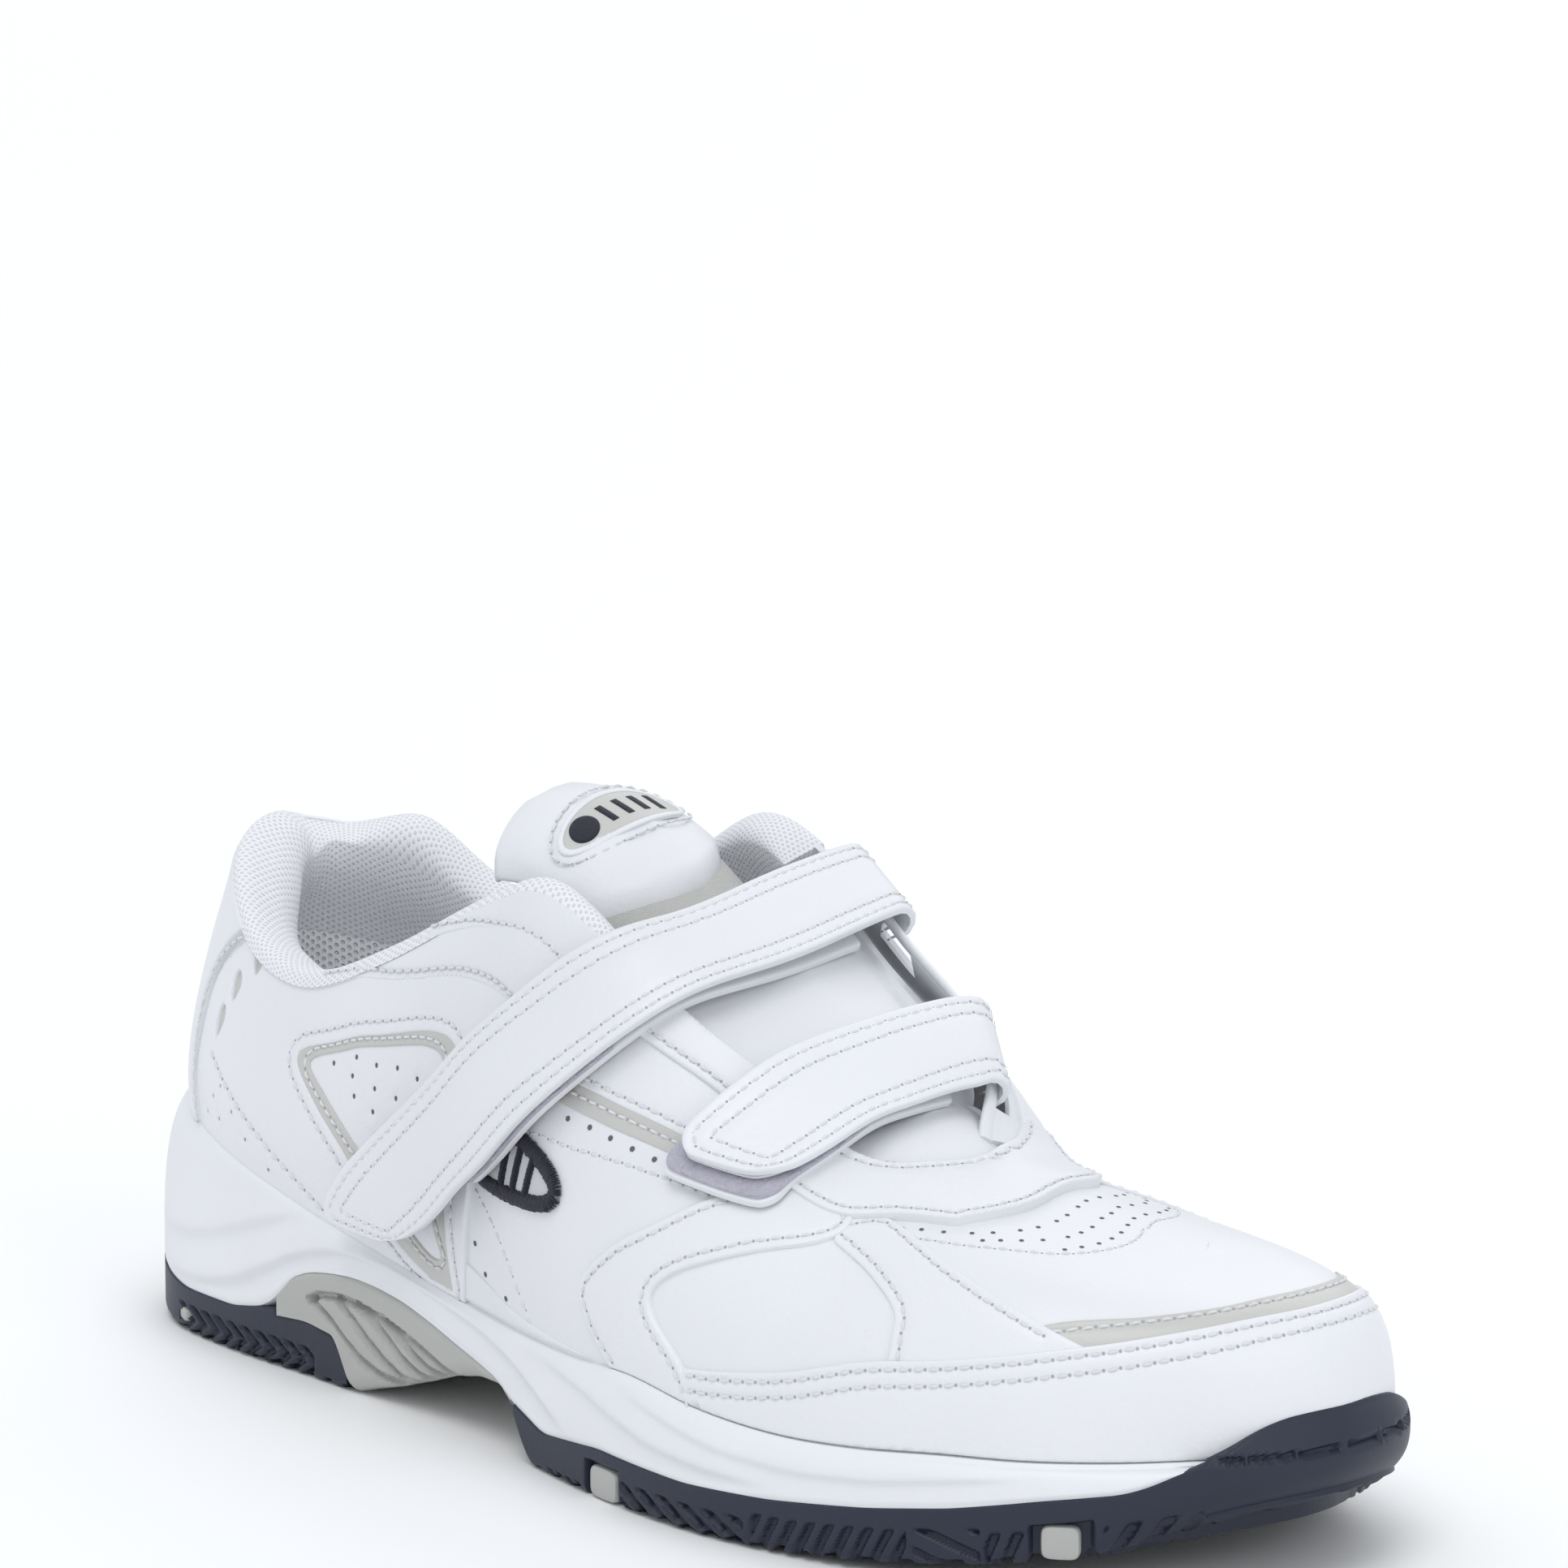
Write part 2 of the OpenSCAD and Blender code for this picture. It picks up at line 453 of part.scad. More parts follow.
module medial_eyestay() {
    color("white") layer(steps(23.6, 28.2, 14), [[23.6, 0.74], [25, 0.78], [26, 0.74], [27.6, 0.68], [28.2, 0.7]],
        [[23.6, 0.84], [27.5, 0.84], [27.7, 0.95], [28.2, 0.95]], over0, over1, 3);
}
module throat_band() {
    color("white") vamp_layer([for (u = steps(0, 1, 5)) [11.6 + 1.2 * u, 23.1 - 0.8 * u]],
        [[11.6, 0.74], [12.8, 0.86], [22.3, 0.88], [23.1, 0.8]], over0 + 0.45, over1 + 0.45, 4);
}
module heel_cap() {
    color("white") difference() {
        layer(steps(-2.6, 2.6, 16), hem, [[-4, 0.96], [4, 0.96]], over0 + 0.6, over1 + 0.9, 6);
        for (side = [-1, 1], k = [0 : 2]) {
            s = side * (2.25 - 0.16 * k);
            t = 0.84 - 0.16 * k;
            n = skin_normal(s, t);
            translate(skin(s, t, 0.9)) rotate([0, acos(n[2]), atan2(n[1], n[0])])
                scale([1.7, 1, 1]) cylinder(r = 1.5 + 0.3 * k, h = 5, center = true, $fn = 20);
        }
    }
}
module heel_inlay() {
    color("#bdbdb4") {
        layer(steps(1.4, 2.7, 4), [[1, 0.4], [3, 0.4]], [[1, 0.92], [3, 0.92]], over0, over0 + 0.2, 3);
        layer(steps(31.3, 32.6, 4), [[31, 0.4], [33, 0.4]], [[31, 0.92], [33, 0.92]], over0, over0 + 0.2, 3);
    }
}
// The D shaped window of the quarter, as places on the lateral side.
window = [[3.75, 0.62], [4.3, 0.69], [5.0, 0.7], [5.55, 0.66], [5.6, 0.55], [5.35, 0.36], [5.35, 0.2],
    [5.5, 0.08], [5.0, 0.09], [4.7, 0.2], [4.35, 0.38], [3.95, 0.52]];
module lateral_window_piping() {
    color("#cfcfc9") piping(window, 3.5, over0, over0 + 1, ring = true);
}
module medial_window_piping() {
    color("#cfcfc9") piping([for (p = window) [ribs_n - p[0], p[1]]], 3.5, over0, over0 + 1, ring = true);
}
module lateral_stripe() {
    color("#cfcfc9") piping([for (u = steps(0, 1, 5)) [7.35 + 1.85 * u, 0.61 + 0.06 * u]], 4,
        over0, over0 + 0.8);
}
module side_badge() {
    place = [7.2, 0.62 - 0.24];
    color("#23262e") piping([for (a = steps(0, 330, 11)) place + [0.62 * cos(a), 0.1 * sin(a)]], 3,
        over0, over0 + 0.9, ring = true);
}

// The collar runs from the lateral throat round the heel to the medial throat.
COLLAR = steps(-6.4, 7.9, 38);
module collar_lining() {
    color("#e3e1ea") layer(steps(-8.4, 8.4, 34), [[-9, 0.02], [9, 0.02]],
        [[-9, 0.84], [-6.6, 0.84], [-6.3, 0.95], [9, 0.95]], lining0, lining1, 5);
}
module collar_foam() {
    color("#f0e8c8") layer(steps(-7.8, 7.8, 28), [[-8, 0.62], [-5, 0.52], [5, 0.52], [8, 0.62]],
        [[-8, 0.84], [-6.6, 0.84], [-6.3, 0.95], [8, 0.95]], foam0, foam1, 4);
}
module heel_counter() {
    color("#b9a98a") layer(steps(-4.2, 4.2, 18), [[-5, 0.02], [5, 0.02]],
        [[-4.2, 0.2], [-2.5, 0.46], [2.5, 0.46], [4.2, 0.2]], foam1 - 1.6, foam1, 3);
}
// The knitted roll that closes the collar from the leather over to the lining.
module collar_binding() {
    color("#eceaf2") loft([for (s = COLLAR) let(top = head(s), out = -inward(s), up = [0, 0, 1],
        c = top + out * (lining0 / 2 - 0.3) - up * 0.6, w = (over1 - lining0) / 2,
        low = -2.1)
        concat([for (a = steps(180, 0, 6)) c + out * (w * cos(a)) + up * (2.6 * sin(a))],
            [c + out * w + up * low * 0.15, c + out * w * 0.3 + up * low * 0.4,
            c - out * w * 0.3 + up * low * 0.4, c - out * w + up * low * 0.15,
            c - out * w * 1.02 + up * low * 0.05])]);
}
module vamp_lining() {
    color("#e3e1ea") vamp_layer([for (p = VAMP) p], [[0, 0.02], [34, 0.02]], front_lining0, front_lining1, 5);
}
module toe_puff() {
    color("#b9a98a") layer(steps(14.5, 20.5, 16), [[14, 0.02], [21, 0.02]], [[14, 0.4], [21, 0.4]],
        stiff0, stiff1 - 0.4, 3);
}

// ---- the straps --------------------------------------------------------------------------

// Each strap is sewn down on the lateral side. Its lower leaf crosses the tongue and passes
// under the medial keeper; there the strap folds back, and its upper leaf returns over the
// lower one and closes on it, hook on loop. A station gives both edges as (q, v).
REAR = [[[4.45, 0.1], [5.45, 0.13]], [[4.75, 0.27], [5.95, 0.21]], [[5.39, 0.44], [6.51, 0.31]],
    [[6.15, 0.575], [7.09, 0.4]], [[7.05, 0.73], [7.79, 0.633]], [[7.51, 0.905], [8.22, 0.824]],
    [[7.9, 1.08], [8.6, 1.02]], [[8.1, 1.3], [8.85, 1.25]], [[8.2, 1.55], [8.98, 1.5]],
    [[8.28, 1.8], [9, 1.8]], [[8.3, 1.9], [9, 1.9]]];
FRONT = [[[9.2, 0.645], [10.35, 0.68]], [[9.25, 0.75], [10.55, 0.75]], [[9.38, 0.85], [10.7, 0.85]],
    [[9.5, 1], [10.82, 0.99]], [[9.6, 1.2], [10.9, 1.15]], [[9.62, 1.4], [10.9, 1.4]],
    [[9.61, 1.65], [10.87, 1.65]], [[9.6, 1.8], [10.85, 1.8]], [[9.6, 1.9], [10.85, 1.9]]];
fold_rise = 0.4;
fold_r = 3.1;
stack = over1 + 0.45;
pile0 = stack + strap_t + 0.3;
hook0 = pile0 + pile_t + 0.4;
upper0 = hook0 + hook_t + 0.3;
lower_leaf = [[0, stack], [1, stack], [1.3, 0.6], [1.7, -1.6], [1.85, -2.6], [2, fold_rise - fold_r - strap_t]];
upper_leaf = [[0, upper0], [1, upper0], [1.4, 4.6], [1.8, 3.6], [2, fold_rise + fold_r]];

// The part of a strap's stations from place i to place j, with its edges drawn in by a share.
function part(S, i, j, in = 0) = [for (k = [i : j]) [S[k][0] + (S[k][1] - S[k][0]) * in,
    S[k][1] + (S[k][0] - S[k][1]) * in]];

module front_strap_lower() {
    color("white") leaf(concat([[[9.05, 0.58], [10.45, 0.62]]], part(FRONT, 0, 6, 0.02),
        [[[9.62, 1.76], [10.83, 1.76]]]), lower_leaf, strap_t);
}
module rear_strap_lower() {
    color("white") leaf(concat(part(REAR, 2, 9, 0.02), [[[8.3, 1.87], [8.98, 1.87]]]), lower_leaf, strap_t);
}
module front_loop_pile() {
    color("#cfc9dd") leaf(part(FRONT, 0, 3, 0.05), [[0, pile0], [2, pile0]], pile_t);
}
module rear_loop_pile() {
    color("#cfc9dd") leaf(part(REAR, 2, 5, 0.05), [[0, pile0], [2, pile0]], pile_t);
}
module front_strap_upper() {
    color("white") folded_leaf(FRONT, upper_leaf, strap_t);
}
module rear_strap_upper() {
    color("white") folded_leaf(REAR, upper_leaf, strap_t);
}
module front_hook_patch() {
    color("#efeff2") leaf(part(FRONT, 0, 2, 0.07), [[0, hook0], [2, hook0]], hook_t);
}
module rear_hook_patch() {
    color("#efeff2") leaf(part(REAR, 2, 4, 0.07), [[0, hook0], [2, hook0]], hook_t);
}
// The edge strip of the medial side that both straps turn about, with the posts that join
// it to the quarter in front of, between and behind the two slots.
module medial_keeper() {
    color("white") {
        piping([for (s = steps(23.2, 27.4, 16)) [s, 0.988]], 2, -0.2, 0.8);
        for (s = [[23.2, 23.45], [25.3, 25.8], [27.2, 27.4]])
            layer(steps(s[0], s[1], 2), [[23, 0.86], [28, 0.86]], [[23, 0.985], [28, 0.985]], -0.4, 0.8, 3);
    }
}

// ---- the tongue ------------------------------------------------------------------------

// The tongue lies under the straps and the edges of the throat. Its padded top stands free
// of it, from under the rear strap to the back, and lifts about its front edge.
tongue_t = 3.2;
tongue_top_d = [[0, -1.8], [0.5, -2.2], [0.8, -4.4], [1, -5.2]];
module tongue_base() {
    color("#dcd9d3") loft([for (q = steps(11.7, 8.3, 10)) let(row = steps(0.03, 0.93, 8)) concat(
        [for (w = row) crown(q, w, lookup(w, tongue_top_d))],
        [for (w = flip(row)) crown(q, w, lookup(w, tongue_top_d) - tongue_t)])]);
}
// Sections of the padded top: X of the middle, height, half width, and how much further
// forward and lower the lateral edge is than the middle.
tongue_mid = [[-51, 111.5, 9, 0, 0], [-48, 113.5, 14.5, 0, 0], [-42, 115.2, 18.5, 0, 0],
    [-32, 115.4, 20, 0, 0], [-20, 111.5, 20, 1.5, 1], [-8, 105.6, 18.8, 3, 2], [1, 101.2, 18, 4.4, 3],
    [6.5, 98.7, 17.4, 4.5, 3.3]];
tongue_drop = 9;
function tongue_at(r, u, d, in) = let(w = (r[2] - in) / r[2] * u)
    [r[0] + (r[0] < -45 ? in : 0) - r[3] * w, -1 + r[2] * w, r[1] + r[4] * w - tongue_drop * w * w + d];
module tongue_shell(d0, d1, in) {
    row = steps(-1, 1, 8);
    loft([for (r = tongue_mid) concat([for (u = row) tongue_at(r, u, d1, in)],
        [for (u = flip(row)) tongue_at(r, u, d0, in)])]);
}
module tongue_top_shell() {
    color("white") tongue_shell(-1.3, 0, 0);
}
module tongue_foam() {
    color("#f0e8c8") tongue_shell(-5.6, -1.5, 1);
}
module tongue_lining() {
    color("#e3e1ea") tongue_shell(-7.1, -6.2, 1);
}
module tongue_label() {
    row = steps(-1, 1, 6);
    color("#c9c9c6") loft([for (x = steps(-43, -24, 6)) let(z = lookup(x, [for (m = tongue_mid) [m[0], m[1]]]),
        w = 8 * sqrt(max(0.05, 1 - pow((x + 33.5) / 10, 2)))) concat(
        [for (u = row) [x, -1 + w * u, z + 1.1 - tongue_drop * pow(w * u / 20, 2)]],
        [for (u = flip(row)) [x, -1 + w * u, z + 0.25 - tongue_drop * pow(w * u / 20, 2)]])]);
}

translate(centre) outsole_forefoot();
translate(centre) outsole_heel();
translate(centre) shank();
translate(centre) forefoot_pods();
translate(centre) heel_plug();
translate(centre) midsole();
translate(centre) insole_board();
translate(centre) sockliner();
translate(centre) vamp();
translate(centre) lateral_quarter();
translate(centre) medial_quarter();
translate(centre) toe_cap();
translate(centre) toe_trim();
translate(centre) lateral_forefoot_overlay();
translate(centre) medial_forefoot_overlay();
translate(centre) lateral_saddle();
translate(centre) medial_saddle();
translate(centre) lateral_collar_panel();
translate(centre) medial_collar_panel();
translate(centre) lateral_eyestay();
translate(centre) medial_eyestay();
translate(centre) throat_band();
translate(centre) heel_cap();
translate(centre) heel_inlay();
translate(centre) lateral_window_piping();
translate(centre) medial_window_piping();
translate(centre) lateral_stripe();
translate(centre) side_badge();
translate(centre) collar_lining();
translate(centre) collar_foam();
translate(centre) collar_binding();
translate(centre) vamp_lining();
translate(centre) heel_counter();
translate(centre) toe_puff();
translate(centre) tongue_base();
translate(centre) tongue_top_shell();
translate(centre) tongue_foam();
translate(centre) tongue_lining();
translate(centre) tongue_label();
translate(centre) medial_keeper();
translate(centre) front_strap_lower();
translate(centre) rear_strap_lower();
translate(centre) front_loop_pile();
translate(centre) rear_loop_pile();
translate(centre) front_strap_upper();
translate(centre) rear_strap_upper();
translate(centre) front_hook_patch();
translate(centre) rear_hook_patch();
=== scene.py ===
"""Court shoe for the right foot: the visual model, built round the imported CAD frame.

Lengths are in millimetres up to piece(), which turns them into metres. The upper is the
same surface as the CAD's: ribs rise from the feather line to the top line, and a place on
it is (s, t). A chart turns places into points at a distance outside that surface.
"""
import math

import bpy
import numpy as np
from mathutils import Matrix, Vector
from mathutils.geometry import delaunay_2d_cdt


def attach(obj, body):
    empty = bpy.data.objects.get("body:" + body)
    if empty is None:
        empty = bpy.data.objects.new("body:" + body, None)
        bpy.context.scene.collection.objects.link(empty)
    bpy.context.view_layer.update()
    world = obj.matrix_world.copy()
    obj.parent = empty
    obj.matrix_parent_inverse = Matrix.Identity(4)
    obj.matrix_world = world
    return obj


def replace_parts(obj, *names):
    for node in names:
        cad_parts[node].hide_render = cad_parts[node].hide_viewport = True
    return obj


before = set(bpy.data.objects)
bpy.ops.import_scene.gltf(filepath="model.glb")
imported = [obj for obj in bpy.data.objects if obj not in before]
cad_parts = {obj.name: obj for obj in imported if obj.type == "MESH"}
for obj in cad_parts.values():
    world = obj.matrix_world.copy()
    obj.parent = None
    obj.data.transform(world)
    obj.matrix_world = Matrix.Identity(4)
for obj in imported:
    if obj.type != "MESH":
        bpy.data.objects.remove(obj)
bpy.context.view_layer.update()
rng = np.random.default_rng(11)
CENTRE = np.array([-0.35, 0.5, 0.0])
MM = 0.001

# ---- the surface of the upper, as in the CAD ------------------------------------------

# Foot, head, lean at the foot, rise at the head, two handles, overhang of the sole.
RIBS = np.array([
    [-141.5, 0, 48, -133.5, 0, 98, 4, 80, .36, .30, 8.5],
    [-135.5, -17, 46, -129, -12, 95.5, 4, 80, .36, .30, 9],
    [-122.5, -30, 42, -117.5, -22.5, 89, 6, 78, .36, .30, 6.5],
    [-100, -37.5, 38, -100, -30.5, 80, 8, 76, .36, .30, 2.5],
    [-75, -38.5, 32, -80, -33.5, 77.5, 9, 74, .36, .30, 2],
    [-50, -39, 27.5, -56, -33.5, 86, 10, 70, .36, .34, 2.5],
    [-25, -41, 24, -30, -30.5, 99, 10, 64, .36, .36, 2.5],
    [-5, -44, 22.5, -13, -29.5, 103, 10, 56, .38, .38, 2.5],
    [15, -48, 22.8, 11, -29, 92, 8, 50, .40, .40, 2.5],
    [33, -50.5, 24, 30, -25.5, 81.5, 6, 42, .42, .42, 2.5],
    [52, -50.5, 21.5, 46, -19.5, 72.5, 4, 34, .46, .44, 3],
    [70, -48.5, 20.3, 58, -11, 66.5, 2, 22, .50, .48, 2.8],
    [86, -44.5, 20.5, 66, 0, 63, 2, 6, .52, .50, 3],
    [101, -39, 21.5, 79, 4, 59.5, 2, 0, .54, .54, 3.3],
    [115, -32.5, 22, 93, 7, 56.8, 2, 0, .56, .56, 3.5],
    [127, -23, 22.5, 103.5, 9.2, 55.1, 2, 0, .58, .58, 4],
    [137, -11.5, 23, 109.5, 10.6, 54.3, 2, 0, .61, .60, 4.5],
    [143.5, 0, 23, 111.5, 11.1, 54, 2, 0, .62, .60, 5],
    [146.5, 13, 23, 112, 11.2, 54, 2, 0, .62, .60, 4.5],
    [142, 28.5, 23, 111.5, 11.1, 54, 2, 0, .61, .56, 4],
    [130, 39.5, 23, 108.5, 10.4, 54.4, 2, 0, .56, .50, 3.7],
    [112, 46.5, 22.5, 98, 8, 56, 2, 0, .48, .42, 3.5],
    [90, 49, 21.5, 82, 4.5, 59, 2, 2, .42, .38, 3.5],
    [70, 48, 20.5, 68, 2, 63.5, 2, 14, .42, .38, 3.5],
    [52, 46, 21, 58, 12.5, 74.5, 2, 44, .42, .38, 3.2],
    [34, 42, 22.5, 45, 18.5, 83, 4, 54, .42, .38, 3.5],
    [15, 38.5, 24, 25, 22.5, 92.5, 6, 58, .40, .38, 2.5],
    [-5, 35, 26, 4, 26, 103.5, 8, 60, .38, .38, 1.5],
    [-28, 32, 28, -20, 29, 109, 8, 60, .36, .38, 2],
    [-52, 31.5, 30, -45, 31.5, 97, 9, 68, .36, .34, 2.5],
    [-77, 33.5, 34, -77, 33.5, 81, 9, 74, .36, .30, 2.5],
    [-101, 35.5, 38, -100, 31.5, 83, 8, 76, .36, .30, 2.5],
    [-122.5, 30, 42, -117.5, 23, 92, 6, 78, .36, .30, 6],
    [-135.5, 17, 46, -129, 12, 96, 4, 80, .36, .30, 8.5]])
RIBS_N = len(RIBS)
TOE = 18
MATES = np.array([[5, 29], [6, 28.6], [7, 28], [8, 27.3], [8.3, 27], [9, 26.15], [9.6, 24.95],
                  [10.85, 23.7], [12, 23.1]])
PAIRS = np.array([[0, 34], [1, 33], [2, 32], [3, 31.04], [4, 30.08], [5, 29.08], [6, 28.1],
                  [7, 27], [8, 26], [9, 25.05], [10, 24], [11, 23], [12, 22.2], [13, 21.5],
                  [14, 20.85], [15, 20.17], [16, 19.4], [17, 18.6], [18, 18]])


def look(table, x):
    """Straight-line value of a table of (place, value) at x."""
    table = np.asarray(table, float)
    return np.interp(x, table[:, 0], table[:, 1])


def unit(v):
    """Rows of v at length 1."""
    return v / np.maximum(np.linalg.norm(v, axis=-1, keepdims=True), 1e-9)


def smooth(x, a=0.0, b=1.0):
    """0 before a, 1 after b, and a smooth rise between."""
    f = np.clip((np.asarray(x, float) - a) / (b - a), 0, 1)
    return f * f * (3 - 2 * f)


def catmull(a, b, c, d, f):
    """Catmull-Rom values between b and c, a share f of the way."""
    return 0.5 * (2 * b + (c - a) * f + (2 * a - 5 * b + 4 * c - d) * f ** 2
                  + (3 * b - a - 3 * c + d) * f ** 3)


def ribs_at(s):
    """Rows of RIBS at the real places s."""
    s = np.atleast_1d(np.asarray(s, float))
    i = np.floor(s).astype(int)
    return catmull(*(RIBS[(i + k) % RIBS_N] for k in (-1, 0, 1, 2)), (s - i)[:, None])


def run_of(line):
    """Distance along a polyline at each of its points."""
    return np.concatenate([[0], np.cumsum(np.linalg.norm(np.diff(line, axis=0), axis=1))])


def along_line(line, run, at):
    """Points of a polyline, whose distances are run, at the distances at."""
    return np.stack([np.interp(at, run, column) for column in line.T], 1)


def circle(n):
    """Angles of n points round a circle."""
    return np.arange(n) * 2 * math.pi / n


def inward(s):
    """Level directions into the shoe from the feet of ribs s."""
    s = np.atleast_1d(np.asarray(s, float))
    d = ribs_at(s + 0.001) - ribs_at(s - 0.001)
    return unit(np.stack([-d[:, 1], d[:, 0], 0 * s], 1))


def rib_points(s):
    """The four Bezier points of ribs s."""
    s = np.atleast_1d(np.asarray(s, float))
    r = ribs_at(s)
    foot, head, into = r[:, 0:3], r[:, 3:6], inward(s)
    length = np.linalg.norm(head - foot, axis=1)[:, None]
    level = (head - foot) * [1, 1, 0]
    share = np.clip((np.linalg.norm(level, axis=1)[:, None] - 6) / 14, 0, 1)
    flat = unit(unit(level) * share + into * (1 - share))
    fall = -0.27 * np.clip((r[:, 3] - 52) / 14, 0, 1)
    way = unit(flat + np.stack([0 * s, 0 * s, flat[:, 0] * fall], 1))
    lean, rise = np.radians(r[:, 6:7]), np.radians(r[:, 7:8])
    up = np.array([[0.0, 0.0, 1.0]])
    arrive = unit(way * np.cos(rise) + up * np.sin(rise))
    start = -into * np.sin(lean) + up * np.cos(lean)
    return foot, foot + start * length * r[:, 8:9], head - arrive * length * r[:, 9:10], head


def bezier(p, t):
    """Points of cubic Bezier curves p, one a row, at t."""
    t = np.asarray(t, float).reshape(-1, 1)
    return ((1 - t) ** 3 * p[0] + 3 * (1 - t) ** 2 * t * p[1] + 3 * (1 - t) * t * t * p[2]
            + t ** 3 * p[3])


def head(s):
    """Heads of ribs s."""
    return ribs_at(s)[:, 3:6]


def raw_side(uv):
    """Points of the upper at places (s, t)."""
    return bezier(rib_points(uv[:, 0]), uv[:, 1])


def raw_vamp(uv):
    """Points of the front of the upper at places (u, v). u goes from rib 12 at 0 to the toe at
    1, and back along the throat below 0; v goes up the lateral side to 1, and down the
    medial side to 2."""
    u, v = uv[:, 0], uv[:, 1]
    lateral = 12 + 6 * u
    ahead = look([[0, 23.1], [.2, 22], [.4, 21.2], [.65, 20.2], [.85, 19], [1, 18]], u)
    medial = np.where(u < 0, look(MATES, lateral), ahead)
    return raw_side(np.stack([np.where(v <= 1, lateral, medial), np.where(v <= 1, v, 2 - v)], 1))


def vamp_points(uv):
    """raw_vamp with the ridge, ahead of the throat, smoothed across."""
    taps = [(-2, 1), (-1, 4), (0, 6), (1, 4), (2, 1)]
    near = 0.05 * smooth(uv[:, 0], 0.0, 0.06)
    total = sum(k * raw_vamp(uv + np.stack([0 * near, j * near], 1)) for j, k in taps)
    return total / 16


def crown_points(uv):
    """Points over the tongue between lateral rib q and its mate, at places (q, w)."""
    a, b = head(uv[:, 0]), head(look(MATES, uv[:, 0]))
    up = np.array([[0, 0, 0.06]]) * np.linalg.norm(b - a, axis=1)[:, None]
    return bezier((a, a + (b - a) / 3 + up, b - (b - a) / 3 + up, b), uv[:, 1])


def over_points(uv):
    """Across the shoe: v to 1 up lateral rib q, to 2 over the crown, to 3 down its mate."""
    q, v = uv[:, 0], uv[:, 1]
    up = raw_side(np.stack([q, np.clip(v, 0, 1)], 1))
    top = crown_points(np.stack([q, np.clip(v - 1, 0, 1)], 1))
    down = raw_side(np.stack([look(MATES, q), np.clip(3 - v, 0, 1)], 1))
    return np.where((v <= 1)[:, None], up, np.where((v <= 2)[:, None], top, down))


class Chart:
    """A surface over flat places. size is about how many millimetres one step of each
    coordinate is, e the step for slopes, and low and high the limits of the second one."""

    def __init__(self, points, size, e, low, high):
        self.points, self.size, self.e, self.low, self.high = points, np.array(size), e, low, high

    def slopes(self, uv):
        v = np.clip(uv[:, 1], self.low + self.e, self.high - self.e)
        at = np.stack([uv[:, 0], v], 1)
        du, dv = np.array([self.e, 0]), np.array([0, self.e])
        return ((self.points(at + du) - self.points(at - du)) / (2 * self.e),
                (self.points(at + dv) - self.points(at - dv)) / (2 * self.e))

    def normals(self, uv):
        a, b = self.slopes(uv)
        return unit(np.cross(a, b))

    def __call__(self, uv, d=0.0):
        uv = np.asarray(uv, float).reshape(-1, 2)
        d = np.broadcast_to(np.asarray(d, float).reshape(-1, 1), (len(uv), 1))
        return self.points(uv) + self.normals(uv) * d

    def shift(self, uv, delta):
        """uv moved by the distances delta, vectors along the surface."""
        a, b = self.slopes(uv)
        aa, ab, bb = (a * a).sum(1), (a * b).sum(1), (b * b).sum(1)
        pa, pb = (a * delta).sum(1), (b * delta).sum(1)
        det = np.maximum(aa * bb - ab * ab, 1e-9)
        return uv + np.stack([(bb * pa - ab * pb) / det, (aa * pb - ab * pa) / det], 1)


SIDE = Chart(raw_side, (20, 60), 0.003, 0, 1)
VAMP = Chart(vamp_points, (110, 60), 0.003, -1, 3)
OVER = Chart(over_points, (20, 45), 0.01, 0, 3)

# ---- meshes ---------------------------------------------------------------------------


def piece(name, verts, faces, mat, body="shoe", slot=None, replaces=(), sharp=35, uv=None):
    """A mesh object from points in millimetres that rides on a body."""
    mesh = bpy.data.meshes.new(name)
    mesh.from_pydata(((np.asarray(verts) + CENTRE) * MM).tolist(), [],
                     [tuple(int(i) for i in f) for f in faces])
    mesh.validate()
    mesh.polygons.foreach_set("use_smooth", [True] * len(mesh.polygons))
    mesh.set_sharp_from_angle(angle=math.radians(sharp))
    if uv is not None:
        layer = mesh.uv_layers.new(name="UVMap")
        loops = np.zeros(len(mesh.loops), int)
        mesh.loops.foreach_get("vertex_index", loops)
        layer.data.foreach_set("uv", (np.asarray(uv)[loops] * MM * 10).ravel())
    mesh.materials.append(mat)
    obj = bpy.data.objects.new(name, mesh)
    bpy.context.scene.collection.objects.link(obj)
    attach(obj, body)
    if replaces:
        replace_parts(obj, *replaces)
    return obj


def grid_faces(m, n, ring=False, tube=False):
    """Quads of an m by n grid of points; ring closes the rows, tube the columns."""
    i, j = np.meshgrid(np.arange(m if ring else m - 1), np.arange(n if tube else n - 1), indexing="ij")
    i, j = i.ravel(), j.ravel()
    a, b = (i + 1) % m, (j + 1) % n
    return np.stack([i * n + j, a * n + j, a * n + b, i * n + b], 1)


def shell(rows_out, rows_in, flip=False):
    """A closed solid between two grids of points of one shape (m, n, 3)."""
    m, n = rows_out.shape[:2]
    top = grid_faces(m, n)
    low = grid_faces(m, n)[:, ::-1] + m * n
    rim = ([(i, 0) for i in range(m)] + [(m - 1, j) for j in range(1, n)]
           + [(i, n - 1) for i in range(m - 2, -1, -1)] + [(0, j) for j in range(n - 2, 0, -1)])
    ids = np.array([i * n + j for i, j in rim])
    nxt = np.roll(ids, -1)
    wall = np.stack([nxt, ids, ids + m * n, nxt + m * n], 1)
    faces = np.concatenate([top, low, wall])
    if flip:
        faces = faces[:, ::-1]
    return np.concatenate([rows_out.reshape(-1, 3), rows_in.reshape(-1, 3)]), faces


def merged(parts):
    """One list of points and faces from several."""
    verts, faces, n = [], [], 0
    for v, f in parts:
        verts.append(np.asarray(v))
        faces.extend([np.asarray(q) + n for q in f])
        n += len(v)
    return np.concatenate(verts), faces


